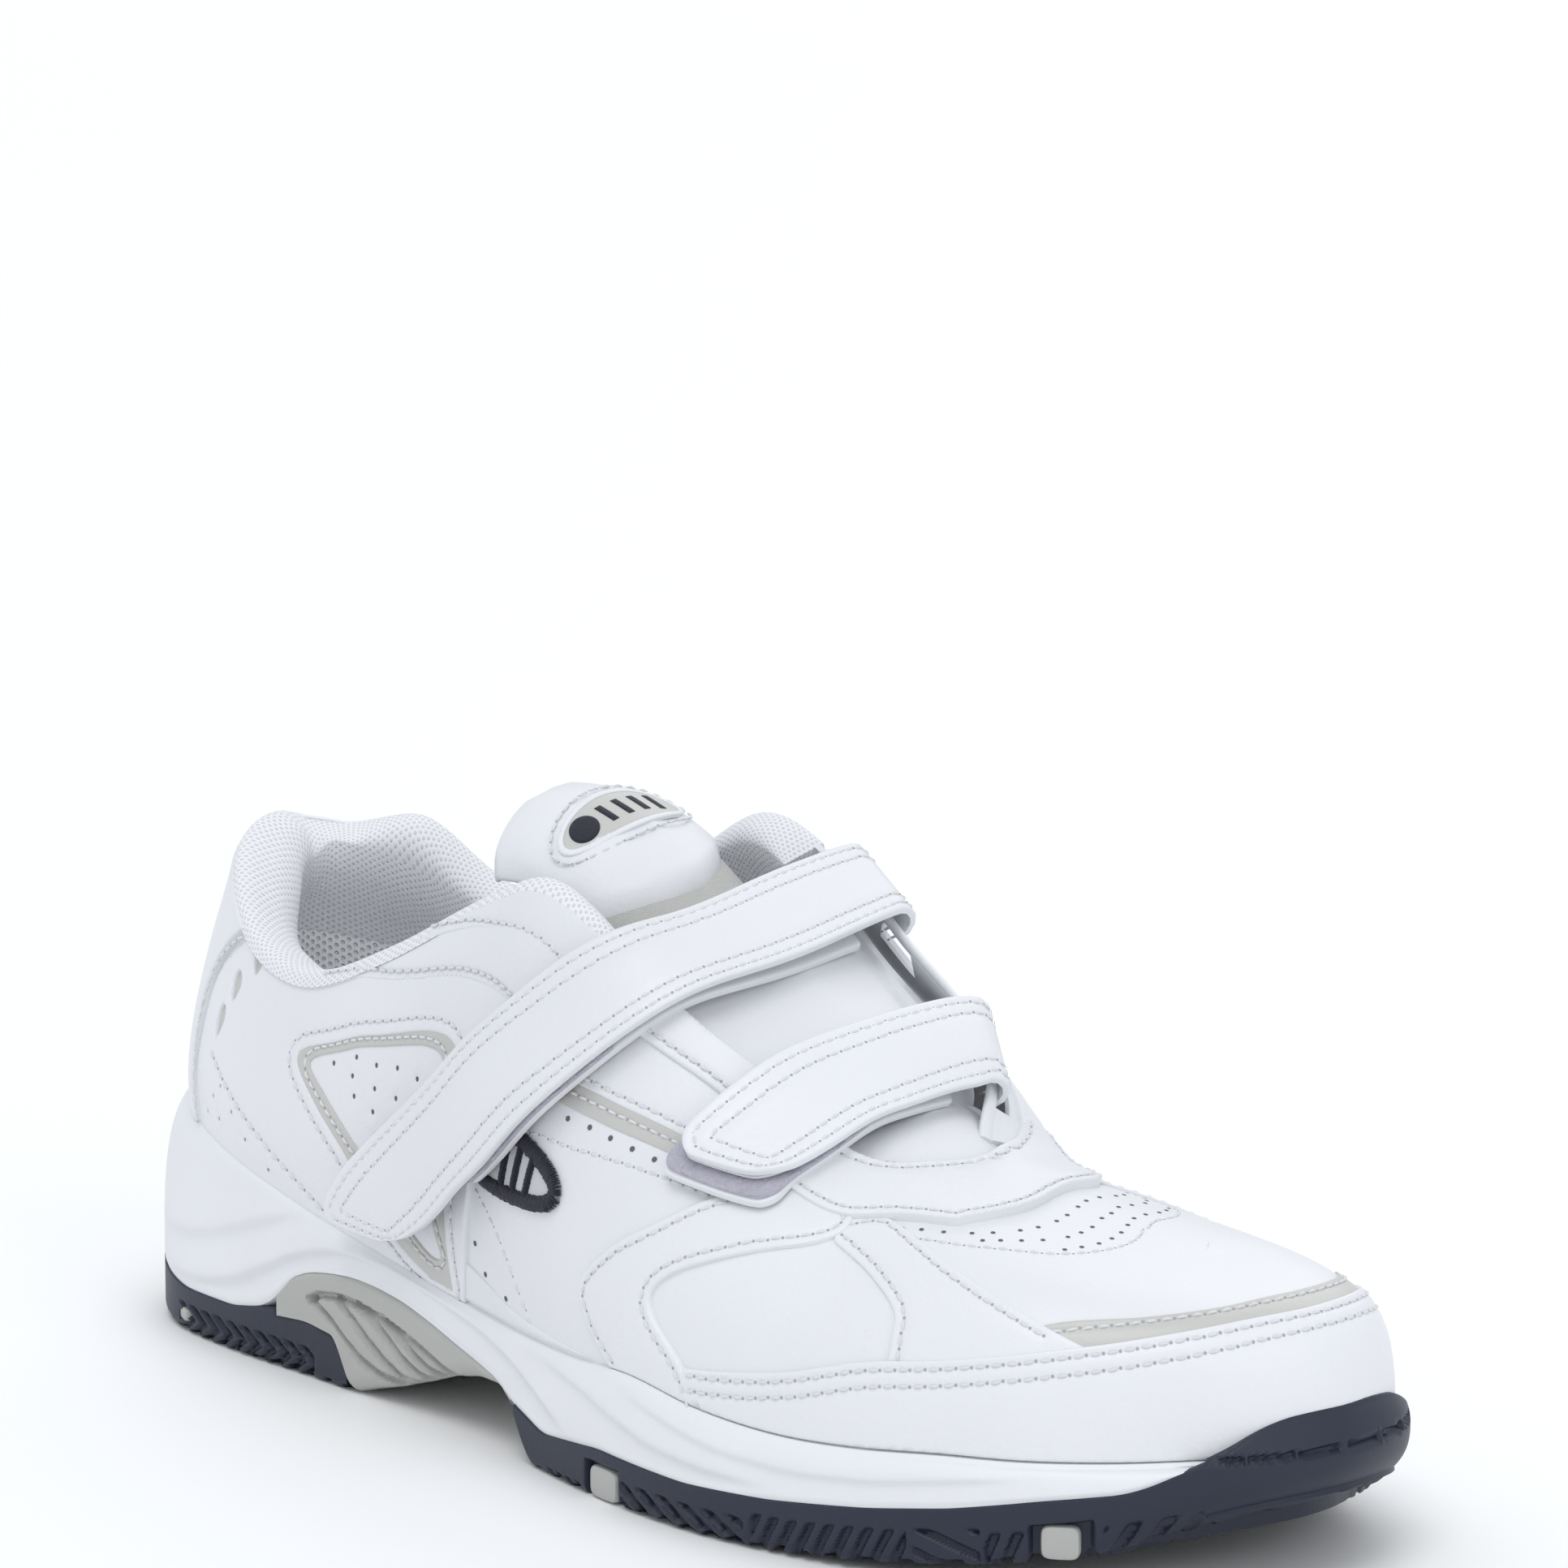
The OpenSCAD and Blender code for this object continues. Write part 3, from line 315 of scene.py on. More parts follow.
def loft(sections, caps=True):
    """Closed sections (m, n, 3) joined into a tube, with flat ends."""
    m, n = sections.shape[:2]
    faces = list(grid_faces(m, n, tube=True))
    if caps:
        faces += [range(n), range(m * n - 1, (m - 1) * n - 1, -1)]
    return sections.reshape(-1, 3), faces


def inside(poly, pts):
    """Which points lie in a closed polygon."""
    x, y = pts[:, 0][:, None], pts[:, 1][:, None]
    a, b = poly, np.roll(poly, -1, axis=0)
    cross = (a[:, 1] > y) != (b[:, 1] > y)
    dy = np.where(a[:, 1] == b[:, 1], 1e-12, b[:, 1] - a[:, 1])
    at = a[:, 0] + (y - a[:, 1]) * (b[:, 0] - a[:, 0]) / dy
    return (cross & (x < at)).sum(1) % 2 == 1


def distance(pts, line, closed=False):
    """Distance from points to a polyline in space."""
    a = line if closed else line[:-1]
    b = np.roll(line, -1, axis=0) if closed else line[1:]
    out = np.full(len(pts), 1e9)
    d = b - a
    dd = np.maximum((d * d).sum(1), 1e-12)
    for k in range(0, len(pts), 1500):
        p = pts[k:k + 1500, None, :]
        f = np.clip(((p - a) * d).sum(2) / dd, 0, 1)
        out[k:k + 1500] = np.sqrt((((p - a) - f[:, :, None] * d) ** 2).sum(2).min(1))
    return out


def curve(points, chart, closed=False, step=1.3):
    """Places along a smooth curve through points, about a step apart. A point with a third
    value is a corner."""
    p = np.array([q[:2] for q in points], float)
    corner = [len(q) > 2 for q in points]
    n, out = len(p), []
    if not closed:
        corner[0] = corner[-1] = True
    for i in range(n if closed else n - 1):
        b, c = p[i], p[(i + 1) % n]
        a = b - (c - b) * 0.5 if corner[i] else p[i - 1]
        d = c + (c - b) * 0.5 if corner[(i + 1) % n] else p[(i + 2) % n]
        ends = chart(np.array([b, c]))
        k = max(2, int(np.ceil(np.linalg.norm(ends[1] - ends[0]) / step)))
        out.append(catmull(a, b, c, d, (np.arange(k) / k)[:, None]))
    if not closed:
        out.append(p[-1:])
    return np.concatenate(out)


def beside(chart, path, offset, closed=False):
    """A path of places moved sideways, to its left, by a distance."""
    line = chart(path)
    if closed:
        along = unit(np.roll(line, -1, axis=0) - np.roll(line, 1, axis=0))
    else:
        along = unit(np.gradient(line, axis=0))
    return chart.shift(path, np.cross(chart.normals(path), along) * offset)


STITCHES = {}
STITCH_LENGTH, STITCH_WIDTH = 2.0, 0.62


def thread(chart, path, d, body="shoe", pitch=2.7, closed=False):
    """A row of stitches along places, at distance d from the surface."""
    line = chart(path, d)
    if closed:
        line, path = (np.concatenate([p, p[:1]]) for p in (line, path))
    run = run_of(line)
    n = max(2, int(run[-1] / pitch))
    at = (np.arange(n) + 0.5) * run[-1] / n
    step = 0.3 * run[-1] / n
    mid, ahead, back = (along_line(line, run, at + k * step) for k in (0, 1, -1))
    nrm = chart.normals(along_line(path, run, at))
    way = unit(ahead - back)
    way = unit(way + np.cross(nrm, way) * rng.normal(0, 0.05, (n, 1)))
    STITCHES.setdefault(body, []).append((mid, way, np.cross(nrm, way), nrm))


def stitch_mesh(rows):
    """Points and faces of all the stitches in rows: each a bead whose ends dip."""
    sides = 6
    # Sections of a bead: the place along it, the radius and the height, in half lengths and widths.
    sections = [(-1.0, 0.15, -0.42), (-0.72, 0.8, -0.1), (0.0, 1.0, 0.12), (0.72, 0.8, -0.1),
                (1.0, 0.15, -0.42)]
    bead = np.array([(x / 2, r * math.cos(a) / 2, r * math.sin(a) / 2 + z)
                     for x, r, z in sections for a in circle(sides)])
    bead = bead * [STITCH_LENGTH, STITCH_WIDTH, STITCH_WIDTH]
    faces = grid_faces(len(sections), sides, tube=True)[:, ::-1]
    mid, way, side, nrm = (np.concatenate(column)[:, None] for column in zip(*rows))
    verts = mid + way * bead[:, :1] + side * bead[:, 1:2] + nrm * bead[:, 2:]
    quads = faces + np.arange(len(mid))[:, None, None] * len(bead)
    return verts.reshape(-1, 3), quads.reshape(-1, 4)


INSETS = (0.12, 0.35, 0.75, 1.3, 2.0, 2.9)  # a panel has points at these distances from its edge
GROOVE_TAPS = (-0.8, -0.35, 0, 0.35, 0.8)  # and at these from its rows of stitches
HOLE_SIDES = 8


def hole_rings(chart, holes, radius):
    """Places round each hole, as an array (holes, HOLE_SIDES, 2)."""
    e1 = unit(chart.slopes(holes)[0])
    e2 = np.cross(chart.normals(holes), e1)
    return np.stack([chart.shift(holes, radius * (e1 * math.cos(a) + e2 * math.sin(a)))
                     for a in circle(HOLE_SIDES)], 1)


def lattice(outline, spacing):
    """Flat points of a triangular grid over the box of an outline."""
    (x0, y0), (x1, y1) = outline.min(0), outline.max(0)
    xs, ys = np.arange(x0, x1, spacing), np.arange(y0, y1, spacing * 0.866)
    gx, gy = np.meshgrid(xs, ys)
    gx = gx + (np.arange(len(ys)) % 2)[:, None] * spacing / 2
    return np.stack([gx.ravel(), gy.ravel()], 1)


def within(loops, pts):
    """Which flat points lie inside the first closed loop and outside the others."""
    ok = inside(loops[0], pts)
    for loop in loops[1:]:
        ok &= ~inside(loop, pts)
    return ok


def gaps(pts, centres):
    """Distance from each point to the nearest centre; far if there are no centres."""
    if not len(centres):
        return np.full(len(pts), 1e9)
    return np.linalg.norm(pts[:, None] - centres[None], axis=2).min(1)


def panel(name, outline, mat, chart=SIDE, height=1.0, base=0.12, holes=(), cutouts=(), grooves=(),
          spacing=3.0, swell=0.0, hole_r=0.6, slot="white_leather", replaces=(), body="shoe", low=-0.35,
          soft=0.0, depth=0.22):
    """A sewn panel with a cut, rounded edge. holes are places of perforations, cutouts closed
    curves cut out of it, and grooves the rows where it is sewn down. soft is how far from its
    edge it goes on rising, by swell."""
    size = chart.size
    loops = [curve(line, chart, closed=True) for line in (outline, *cutouts)]
    flat_loops = [loop * size for loop in loops]
    edge_lines, groove_lines = [chart(loop) for loop in loops], [chart(g) for g in grooves]
    holes = np.array(holes, float).reshape(-1, 2)
    centres = chart(holes) if len(holes) else holes
    # Rows of places and how far from the edge their points have to be.
    wanted = []
    for k, loop in enumerate(loops):
        x, y = flat_loops[k].T
        area = np.sum(x * np.roll(y, -1) - y * np.roll(x, -1))
        turn = (1 if area > 0 else -1) * (1 if k == 0 else -1)
        wanted += [(beside(chart, loop, turn * off, True), off) for off in INSETS]
    rows = list(loops)
    if len(holes):
        ring = hole_rings(chart, holes, hole_r)
        rows += list(ring)
        wanted.append(((holes[:, None] + (ring - holes[:, None]) * 1.7).reshape(-1, 2), 0.3))
    edges, n = [], 0
    for loop in rows:
        edges += [(n + i, n + (i + 1) % len(loop)) for i in range(len(loop))]
        n += len(loop)
    for g in grooves:
        wanted += [(beside(chart, g, off), 0.3) for off in GROOVE_TAPS]
    wanted.append((lattice(flat_loops[0], spacing) / size, spacing * 0.45))
    for pts, keep in wanted:
        pts = pts[within(flat_loops, pts * size)]
        if not len(pts):
            continue
        p3 = chart(pts)
        ok = gaps(p3, centres) > hole_r * 1.35
        for line in edge_lines:
            ok &= distance(p3, line, True) > keep * 0.85
        if keep > 0.5:
            for line in groove_lines:
                ok &= distance(p3, line) > 1.1
        rows.append(pts[ok])
    out = delaunay_2d_cdt([Vector(p) for p in np.concatenate(rows) * size], edges, [], 0, 1e-4, False)
    flat, tri = np.array([tuple(v) for v in out[0]]), np.array(out[2])
    mid = flat[tri].mean(1)
    ok = within(flat_loops, mid)
    if len(holes):
        ok &= gaps(chart(mid / size), centres) > hole_r * 0.9
    used, tri = np.unique(tri[ok], return_inverse=True)
    tri, uv = tri.reshape(-1, 3), flat[used] / size
    p3 = chart(uv)
    far = np.min([distance(p3, line, True) for line in edge_lines], axis=0)
    d = base + height * (0.55 + 0.45 * np.sqrt(1 - (1 - np.clip(far / 0.75, 0, 1)) ** 2))
    if swell:
        d += swell * smooth(far, 0.5, soft)
    for line in groove_lines:
        d -= depth * np.exp(-(distance(p3, line) / 0.75) ** 2)
    d -= 0.16 * (1 - smooth(gaps(p3, centres), hole_r, hole_r * 1.7))
    sides = np.concatenate([tri[:, [0, 1]], tri[:, [1, 2]], tri[:, [2, 0]]])
    first, count = np.unique(np.sort(sides, axis=1), axis=0, return_index=True, return_counts=True)[1:]
    rim, k = sides[first[count == 1]], len(uv)
    wall = np.stack([rim[:, 1], rim[:, 0], rim[:, 0] + k, rim[:, 1] + k], 1)
    verts = np.concatenate([chart(uv, d), chart(uv, np.full(k, low))])
    return piece(name, verts, [*tri, *(tri[:, ::-1] + k), *wall], mat, body, slot, replaces,
                 uv=np.concatenate([uv, uv]) * size)


# ---- materials ------------------------------------------------------------------------


def nodes_of(name, colour, rough, **sockets):
    """A Principled material, its node tree and a helper that adds nodes."""
    mat = bpy.data.materials.new(name)
    mat.use_nodes = True
    tree = mat.node_tree
    shader = tree.nodes["Principled BSDF"]
    shader.inputs["Base Color"].default_value = (*colour, 1)
    shader.inputs["Roughness"].default_value = rough
    for key, value in sockets.items():
        shader.inputs[key.replace("_", " ")].default_value = value

    def add(kind, links=(), **values):
        node = tree.nodes.new("ShaderNode" + kind)
        for key, value in values.items():
            if hasattr(node, key):
                setattr(node, key, value)
            else:
                node.inputs[key.replace("_", " ")].default_value = value
        for socket, source in dict(links).items():
            tree.links.new(source, node.inputs[socket])
        return node

    return mat, tree, shader, add


def ramp(add, source, stops):
    """A colour ramp over source from (place, colour) stops."""
    node = add("ValToRGB", {"Fac": source})
    bar = node.color_ramp
    while len(bar.elements) < len(stops):
        bar.elements.new(0.5)
    for element, (place, colour) in zip(bar.elements, stops):
        element.position = place
        element.color = (*colour, 1)
    return node.outputs["Color"]


def bump(tree, shader, add, *layers, invert=False):
    """Bumps into a shader, the broadest first, from (height, strength, distance in metres).
    invert turns the last one inside out."""
    links = {}
    for height, strength, depth in layers:
        node = add("Bump", {"Height": height, **links}, Strength=strength, Distance=depth)
        links = {"Normal": node.outputs["Normal"]}
    node.invert = invert
    tree.links.new(node.outputs["Normal"], shader.inputs["Normal"])


def mapped(add, source, old_low, old_high, low, high):
    """source with the values old_low to old_high mapped to low to high."""
    return add("MapRange", {"Value": source}, From_Min=old_low, From_Max=old_high, To_Min=low,
               To_Max=high).outputs["Result"]


def tone(tree, shader, add, source, stops):
    """The base colour of a shader from a ramp over source."""
    tree.links.new(ramp(add, source, stops), shader.inputs["Base Color"])


def shaded(colour, share):
    """A share of a colour."""
    return tuple(c * share for c in colour)


def leather(name, colour, rough=0.42, grain=0.35):
    """Coated leather: fine pebbled grain, slight creases and uneven gloss and tone."""
    mat, tree, shader, add = nodes_of(name, colour, rough, Coat_Weight=0.12, Coat_Roughness=0.3,
                                      Specular_IOR_Level=0.45)
    where = add("TexCoord").outputs["Object"]
    cells = add("TexVoronoi", {"Vector": where}, Scale=900.0, Randomness=1.0).outputs["Distance"]
    fine = add("TexNoise", {"Vector": where}, Scale=1500.0, Detail=3.0, Roughness=0.6).outputs["Fac"]
    soft = add("TexNoise", {"Vector": where}, Scale=55.0, Detail=4.0, Roughness=0.55).outputs["Fac"]
    broad = add("TexNoise", {"Vector": where}, Scale=14.0, Detail=2.0).outputs["Fac"]
    bump(tree, shader, add, (soft, 0.10, 0.0012), (cells, grain * 0.5, 0.0002), (fine, grain, 0.00012))
    tone(tree, shader, add, broad, [(0.3, shaded(colour, 0.94)), (0.62, colour)])
    tree.links.new(mapped(add, soft, 0.3, 0.7, rough - 0.05, rough + 0.07), shader.inputs["Roughness"])
    return mat


def moulded(name, colour, rough=0.5, strength=0.12, shade=0.92):
    """Moulded rubber, foam or plastic: a faint skin texture and uneven tone."""
    mat, tree, shader, add = nodes_of(name, colour, rough, Specular_IOR_Level=0.4)
    where = add("TexCoord").outputs["Object"]
    fine = add("TexNoise", {"Vector": where}, Scale=1300.0, Detail=3.0).outputs["Fac"]
    pores = add("TexVoronoi", {"Vector": where}, Scale=1040.0).outputs["Distance"]
    broad = add("TexNoise", {"Vector": where}, Scale=18.0, Detail=5.0, Roughness=0.65).outputs["Fac"]
    bump(tree, shader, add, (pores, strength * 0.6, 0.00015), (fine, strength, 0.00015))
    tone(tree, shader, add, broad, [(0.32, shaded(colour, shade)), (0.6, colour)])
    tree.links.new(mapped(add, broad, 0, 1, rough - 0.08, rough + 0.1), shader.inputs["Roughness"])
    return mat


def cloth(name, colour, rough=0.85, scale=1400.0, strength=0.5, sheen=0.3, shade=0.86, weave=None):
    """Textile: fibres or, with weave, crossed threads, with sheen."""
    mat, tree, shader, add = nodes_of(name, colour, rough, Specular_IOR_Level=0.2, Sheen_Weight=sheen,
                                      Sheen_Roughness=0.5)
    where = add("TexCoord").outputs["Object"]
    height = add("TexNoise", {"Vector": where}, Scale=scale, Detail=6.0, Roughness=0.75).outputs["Fac"]
    if weave:
        one, two = (add("TexWave", {"Vector": where}, bands_direction=way, Scale=weave, Distortion=1.2)
                    for way in "XZ")
        both = add("Math", {0: one.outputs["Fac"], 1: two.outputs["Fac"]}, operation="MAXIMUM")
        height = add("Math", {0: both.outputs[0], 1: height}, operation="MULTIPLY").outputs[0]
    bump(tree, shader, add, (height, strength, 0.0005))
    tone(tree, shader, add, height, [(0.3, shaded(colour, shade)), (0.65, colour)])
    return mat


def punched(name, colour, pitch, depth, rise=0.8):
    """Spacer mesh: a knit with a hexagonal pattern of soft holes, pitch in millimetres. The holes are painted
    darker, to depth times the colour, as painted shade.
    """
    mat, tree, shader, add = nodes_of(name, colour, 0.85, Specular_IOR_Level=0.2, Sheen_Weight=0.25,
                                      Sheen_Roughness=0.5)
    flat = add("UVMap").outputs["UV"]
    # One unit of the UV map is 100 mm.
    k = 2 * math.pi * 2 / math.sqrt(3) / pitch * 100
    waves = []
    for angle in (0, 60, 120):
        dot = add("VectorMath", {0: flat}, operation="DOT_PRODUCT")
        turn = math.radians(angle)
        dot.inputs[1].default_value = (k * math.cos(turn), k * math.sin(turn), 0)
        waves.append(add("Math", {0: dot.outputs["Value"]}, operation="COSINE").outputs[0])
    pair = add("Math", {0: waves[0], 1: waves[1]}, operation="ADD").outputs[0]
    total = add("Math", {0: pair, 1: waves[2]}, operation="ADD").outputs[0]
    holes = mapped(add, total, 0.45, 2.4, 0, 1)
    where = add("TexCoord").outputs["Object"]
    fibres = add("TexNoise", {"Vector": where}, Scale=2600.0, Detail=5.0, Roughness=0.7).outputs["Fac"]
    bump(tree, shader, add, (fibres, 0.35, 0.0003), (holes, rise, 0.0007), invert=True)
    # Painted shade in the holes: they darken to depth times the colour.
    tone(tree, shader, add, holes, [(0.0, colour), (1.0, shaded(colour, depth))])
    return mat


WHITE = leather("white_leather", (0.79, 0.80, 0.825))
STRAP = leather("strap_leather", (0.79, 0.80, 0.825), rough=0.4)
GREY = leather("grey_leather", (0.56, 0.555, 0.53), rough=0.36, grain=0.25)
FOAM = moulded("white_foam", (0.80, 0.81, 0.835), rough=0.46, strength=0.1, shade=0.96)
NAVY = moulded("navy_rubber", (0.018, 0.023, 0.044), rough=0.45, strength=0.2, shade=0.8)
TPU = moulded("grey_plastic", (0.44, 0.445, 0.42), rough=0.34, strength=0.06, shade=0.93)
# depth sets how dark the painted shade in each mesh's holes is.
KNIT = punched("knit_white", (0.83, 0.835, 0.86), 1.25, depth=0.88, rise=0.55)
LINING = punched("lining_mesh", (0.96, 0.965, 0.98), 2.1, depth=0.78)
PILE = cloth("loop_pile", (0.66, 0.64, 0.76), scale=3000, strength=0.9, sheen=0.7, shade=0.7)
HOOK = moulded("hook_tape", (0.74, 0.74, 0.78), rough=0.5)
THREAD = cloth("thread_white", (0.80, 0.80, 0.82), scale=5000, strength=0.3, sheen=0.2, shade=0.85)
# Painted shade: the grey seen in the needle holes at the stitches' ends.
NEEDLE_SHADE = moulded("needle_hole", (0.40, 0.40, 0.42), rough=0.9)
# Painted shade: near black for what is seen down punched holes and through the window's mesh.
HOLE_SHADE = moulded("painted_hole_shade", (0.13, 0.13, 0.135), rough=0.9)
NAVY_THREAD = cloth("thread_navy", (0.012, 0.014, 0.028), rough=0.55, scale=3500, strength=0.6, sheen=0.2)
TONGUE = cloth("tongue_textile", (0.60, 0.595, 0.575), scale=1600, strength=0.5, weave=1100)
BOARD = cloth("board", (0.6, 0.53, 0.4), scale=500, strength=0.2, sheen=0.0)
SOCK = cloth("sockliner", (0.88, 0.885, 0.90), scale=1600, strength=0.5, weave=700)
SATIN = cloth("satin_white", (0.78, 0.78, 0.80), rough=0.45, scale=2400, strength=0.5, sheen=0.2,
              weave=1900)

# The inner parts are shown as the CAD has them, in these materials.
SHOWN = {"insole_board": BOARD, "heel_counter": BOARD, "toe_puff": BOARD, "vamp_lining": LINING,
         "sockliner": SOCK}
for node, mat in SHOWN.items():
    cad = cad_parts[node]
    cad.data.materials.clear()
    cad.data.materials.append(mat)

# ---- the sole -------------------------------------------------------------------------

TOE_SPRING = 12.5
UP = np.array([0, 0, 1.0])
# Heights along the shoe, as (x, z): the underside, the rubber's edge, the edge of the rubber and
# the shank together, and the foot of the foam. BUMPER is how much higher the rubber climbs over
# the toe, as (rib, height).
GROUND = np.array([[-152, 3.5], [-142, 1.6], [-130, .4], [-118, 0], [-60, 0], [-55, 1.6], [-48, 3.5],
                   [-40, 6], [-30, 9.5], [-20, 11.8], [-12, 12], [-7, 9], [-3, 3], [0, 0], [55, 0],
                   [75, TOE_SPRING * .045], [95, TOE_SPRING * .18], [110, TOE_SPRING * .34],
                   [125, TOE_SPRING * .54], [138, TOE_SPRING * .77], [152, TOE_SPRING * 1.05]])
RUBBER = np.array([[-152, 17], [-140, 12.5], [-130, 10.5], [-118, 9], [-100, 9.2], [-87, 11.4], [-75, 12.2],
                   [-60, 10.4], [-12, 13], [-6, 10.2], [5, 7.2], [25, 9.2], [50, 8.6], [70, 9.5],
                   [90, 11.4], [105, 13.5], [120, 16.6], [132, 18.6], [139, 22.5], [152, 23]])
WRAP = np.array([[-152, 17], [-140, 12.5], [-130, 10.5], [-118, 9], [-100, 9.2], [-90, 11.2], [-85, 14.2],
                 [-81, 18.5], [-75, 20.8], [-68, 21.9], [-61, 22.5], [-53, 22.2], [-44, 21.1], [-35, 19],
                 [-26, 16.6], [-19, 15], [-12, 13.4], [-6, 10.2], [5, 7.2], [25, 9.2], [50, 8.6], [70, 9.5],
                 [90, 11.4], [105, 13.5], [120, 16.6], [132, 18.6], [139, 22.5], [152, 23]])
CORE = np.array([[-152, 6.5], [-118, 4.5], [-66, 4.5], [-60, 5.5], [-50, 8], [-40, 10.2], [-30, 12.9],
                 [-22, 14.5], [-14, 14.4], [-11, 13.2], [-7, 9.8], [-3, 5.5], [2, 4.5], [55, 4.5],
                 [75, 5.1], [95, 6.7], [110, 8.7], [125, 11.3], [138, 14], [152, 17.5]])
BUMPER = np.array([[15.75, 0], [16.1, 1.6], [16.45, 4.4], [16.85, 6.8], [17.4, 8.0], [18.6, 8.2], [19.1, 6],
                   [19.9, 0]])


def curved(table, x, width=2.0):
    """A table's value at x, rounded at its corners."""
    taps = np.linspace(-1, 1, 5)
    return sum(look(table, x + k * width) for k in taps) / 5


def level(s, d, z):
    """Points level with z at distance d outside the feet of ribs s, all of one shape."""
    shape = np.broadcast(s, d, z).shape
    s, d, z = (np.broadcast_to(a, shape) for a in (s, d, z))
    r, into = ribs_at(s.ravel()), inward(s.ravel())
    d = d.ravel()
    return np.stack([r[:, 0] - into[:, 0] * d, r[:, 1] - into[:, 1] * d, z.ravel()], 1).reshape(*shape, 3)


def sole_out(s):
    """How far the sole stands outside the feather line at ribs s."""
    return ribs_at(s)[:, 10]


def feather(s):
    """Heights of the feather line."""
    return ribs_at(s)[:, 2]


def sole_x(s):
    """Places along the shoe of the sole's wall."""
    return ribs_at(s)[:, 0] - inward(s)[:, 0] * sole_out(s)


def ground_at(x):
    """Height of the underside of the sole."""
    return curved(GROUND, x, 1.2)


def rounding(h, radius):
    """From 1 at an edge to 0 a radius away, as a quarter circle falls."""
    return 1 - np.sqrt(1 - (1 - np.clip(h / radius, 0, 1)) ** 2)



STATIONS = np.linspace(0, TOE, TOE * 16 + 1)
RING = np.concatenate([STATIONS, look(PAIRS, STATIONS[1:-1])[::-1]])


def ring_solid(rows):
    """A closed solid from rows (m, n, 3) round RING: its first and last columns are joined
    across the shoe."""
    m, n = rows.shape[:2]
    faces = list(grid_faces(m, n, ring=True))
    half = len(STATIONS) - 1
    for col, flip in ((0, False), (n - 1, True)):
        for i in range(half):
            a, b, c, d = i, i + 1, (m - i - 1) % m, (m - i) % m
            ids = [a, b] + ([c] if c != b else []) + ([d] if d != a else [])
            f = [k * n + col for k in ids]
            faces.append(f[::-1] if flip else f)
    return rows.reshape(-1, 3), faces


# Creases pressed into the foam wall: places (x, z) along each, and how far it stands out.
CREASES = [([[-136, 20], [-118, 20.6], [-108, 22.3], [-95, 26.3], [-83, 30.3], [-72, 34]], 0.55),
           ([[-132, 11], [-110, 12.1], [-98, 14.9], [-89, 18.9], [-82, 22.2], [-72, 25.5], [-63, 26.9],
             [-49, 26.4], [-40, 25.2], [-28, 22.9], [-18, 21.2], [-8, 18.6], [4, 13.9], [17, 8]], 0.7),
           ([[-42, 27.5], [-27, 26], [-13, 24.6], [2, 22.1], [20, 18.9], [30, 16.3], [40, 13.6], [54, 12.2],
             [72, 11.8]], 0.55),
           ([[28, 23], [45, 18.9], [58, 16.4], [75, 15.4], [91, 16.3], [104, 18.3], [122, 21]], 0.45)]


def creases(x, z):
    """How far the foam wall stands out at (x, z) for its pressed creases."""
    total = 0
    for line, amount in CREASES:
        line = np.array(line, float)
        g = z - curved(line, x, 3)
        ends = smooth(x, line[0, 0], line[0, 0] + 14) * (1 - smooth(x, line[-1, 0] - 14, line[-1, 0]))
        total = total + amount * ends * np.tanh(g / 0.7) * np.exp(-(g / 5.5) ** 2)
    return total


def skin_offset(s, z):
    """How far outside the feather line the upper is, at heights z (one row for each s)."""
    t = np.linspace(0, 0.6, 25)
    out = np.empty_like(z)
    into = inward(s)
    for k, rib in enumerate(s):
        p = raw_side(np.stack([np.full(25, rib), t], 1))
        foot = p[0]
        out[k] = np.interp(z[k], p[:, 2], -(p - foot) @ into[k])
    return out


def build_midsole():
    """The foam cup: its pressed wall, and a rim tucked between the wall and the upper."""
    s = RING[:, None]
    x, o, top = sole_x(RING)[:, None], sole_out(RING)[:, None], feather(RING)[:, None]
    over = curved(BUMPER, RING, 0.3)[:, None]
    seam = np.minimum(curved(WRAP, x) + over, top - 0.4)
    hidden = smooth(over, 0.5, 2.5)
    f = np.linspace(0, 1, 34)[None, :]
    z = seam + 0.1 + (top - seam - 0.1) * f
    bulge = np.sqrt(np.clip(1 - f ** 3, 0, 1))
    out = 1.7 + (o - 1.7) * bulge + creases(x, z) * np.minimum(1, (1 - f) * 4) * smooth(f, 0, 0.12)
    out = out - 0.45 * (1 - smooth(z - seam, 0, 1.4))
    out = out * (1 - hidden) + np.minimum(out, o - 3) * hidden
    base = curved(CORE, x)
    col = [(o - 4, base), (o - 3.3, base + 0.8), (o - 3.3, seam - 1), (o - 1.2, seam - 0.3)]
    wall = [level(s, a, b)[:, 0] for a, b in col]
    rows = level(s, out, z)
    lip = [(1.55, top + 0.25), (1.0, top + 0.75), (0.1, top + 0.8), (0.1, top - 5), (-2.5, top - 5.5)]
    rim = [level(s, a + 0 * o, b)[:, 0] for a, b in lip]
    grid = np.concatenate([np.stack(wall, 1), rows, np.stack(rim, 1)], 1)
    return ring_solid(grid)


def bars(u, period, duty=0.45):
    """1 in the grooves of a row of bars along u, with sloped sides."""
    f = np.abs((u / period) % 1 - 0.5) * 2
    return smooth(f, 1 - duty - 0.12, 1 - duty + 0.12)


# Grooves of the rubber wall in stretches along the shoe: from x, to x, from and to a height above
# the ground, the slope of the bars, their pitch and the share of it that is groove.
ZONES = ((32, 65, 0.2, 5.0, 1.7, 5.9, 0.45), (66, 98, 0.2, 6.2, -0.55, 3.8, 0.45),
         (98.5, 111, 0.6, 6.4, 2.1, 9.5, 0.35), (111, 118.5, 0.2, 5.6, -0.4, 3.7, 0.45),
         (128.5, 141, 0.2, 5.2, -0.5, 4.2, 0.45), (6, 20, -1, 1.5, 1.0, 3.3, 0.45))
CHEVRONS = (-121, -73, 0.4, 5.8, 1.7, 4.8, 0.5)
CHEVRON_MIDDLE = 3.1


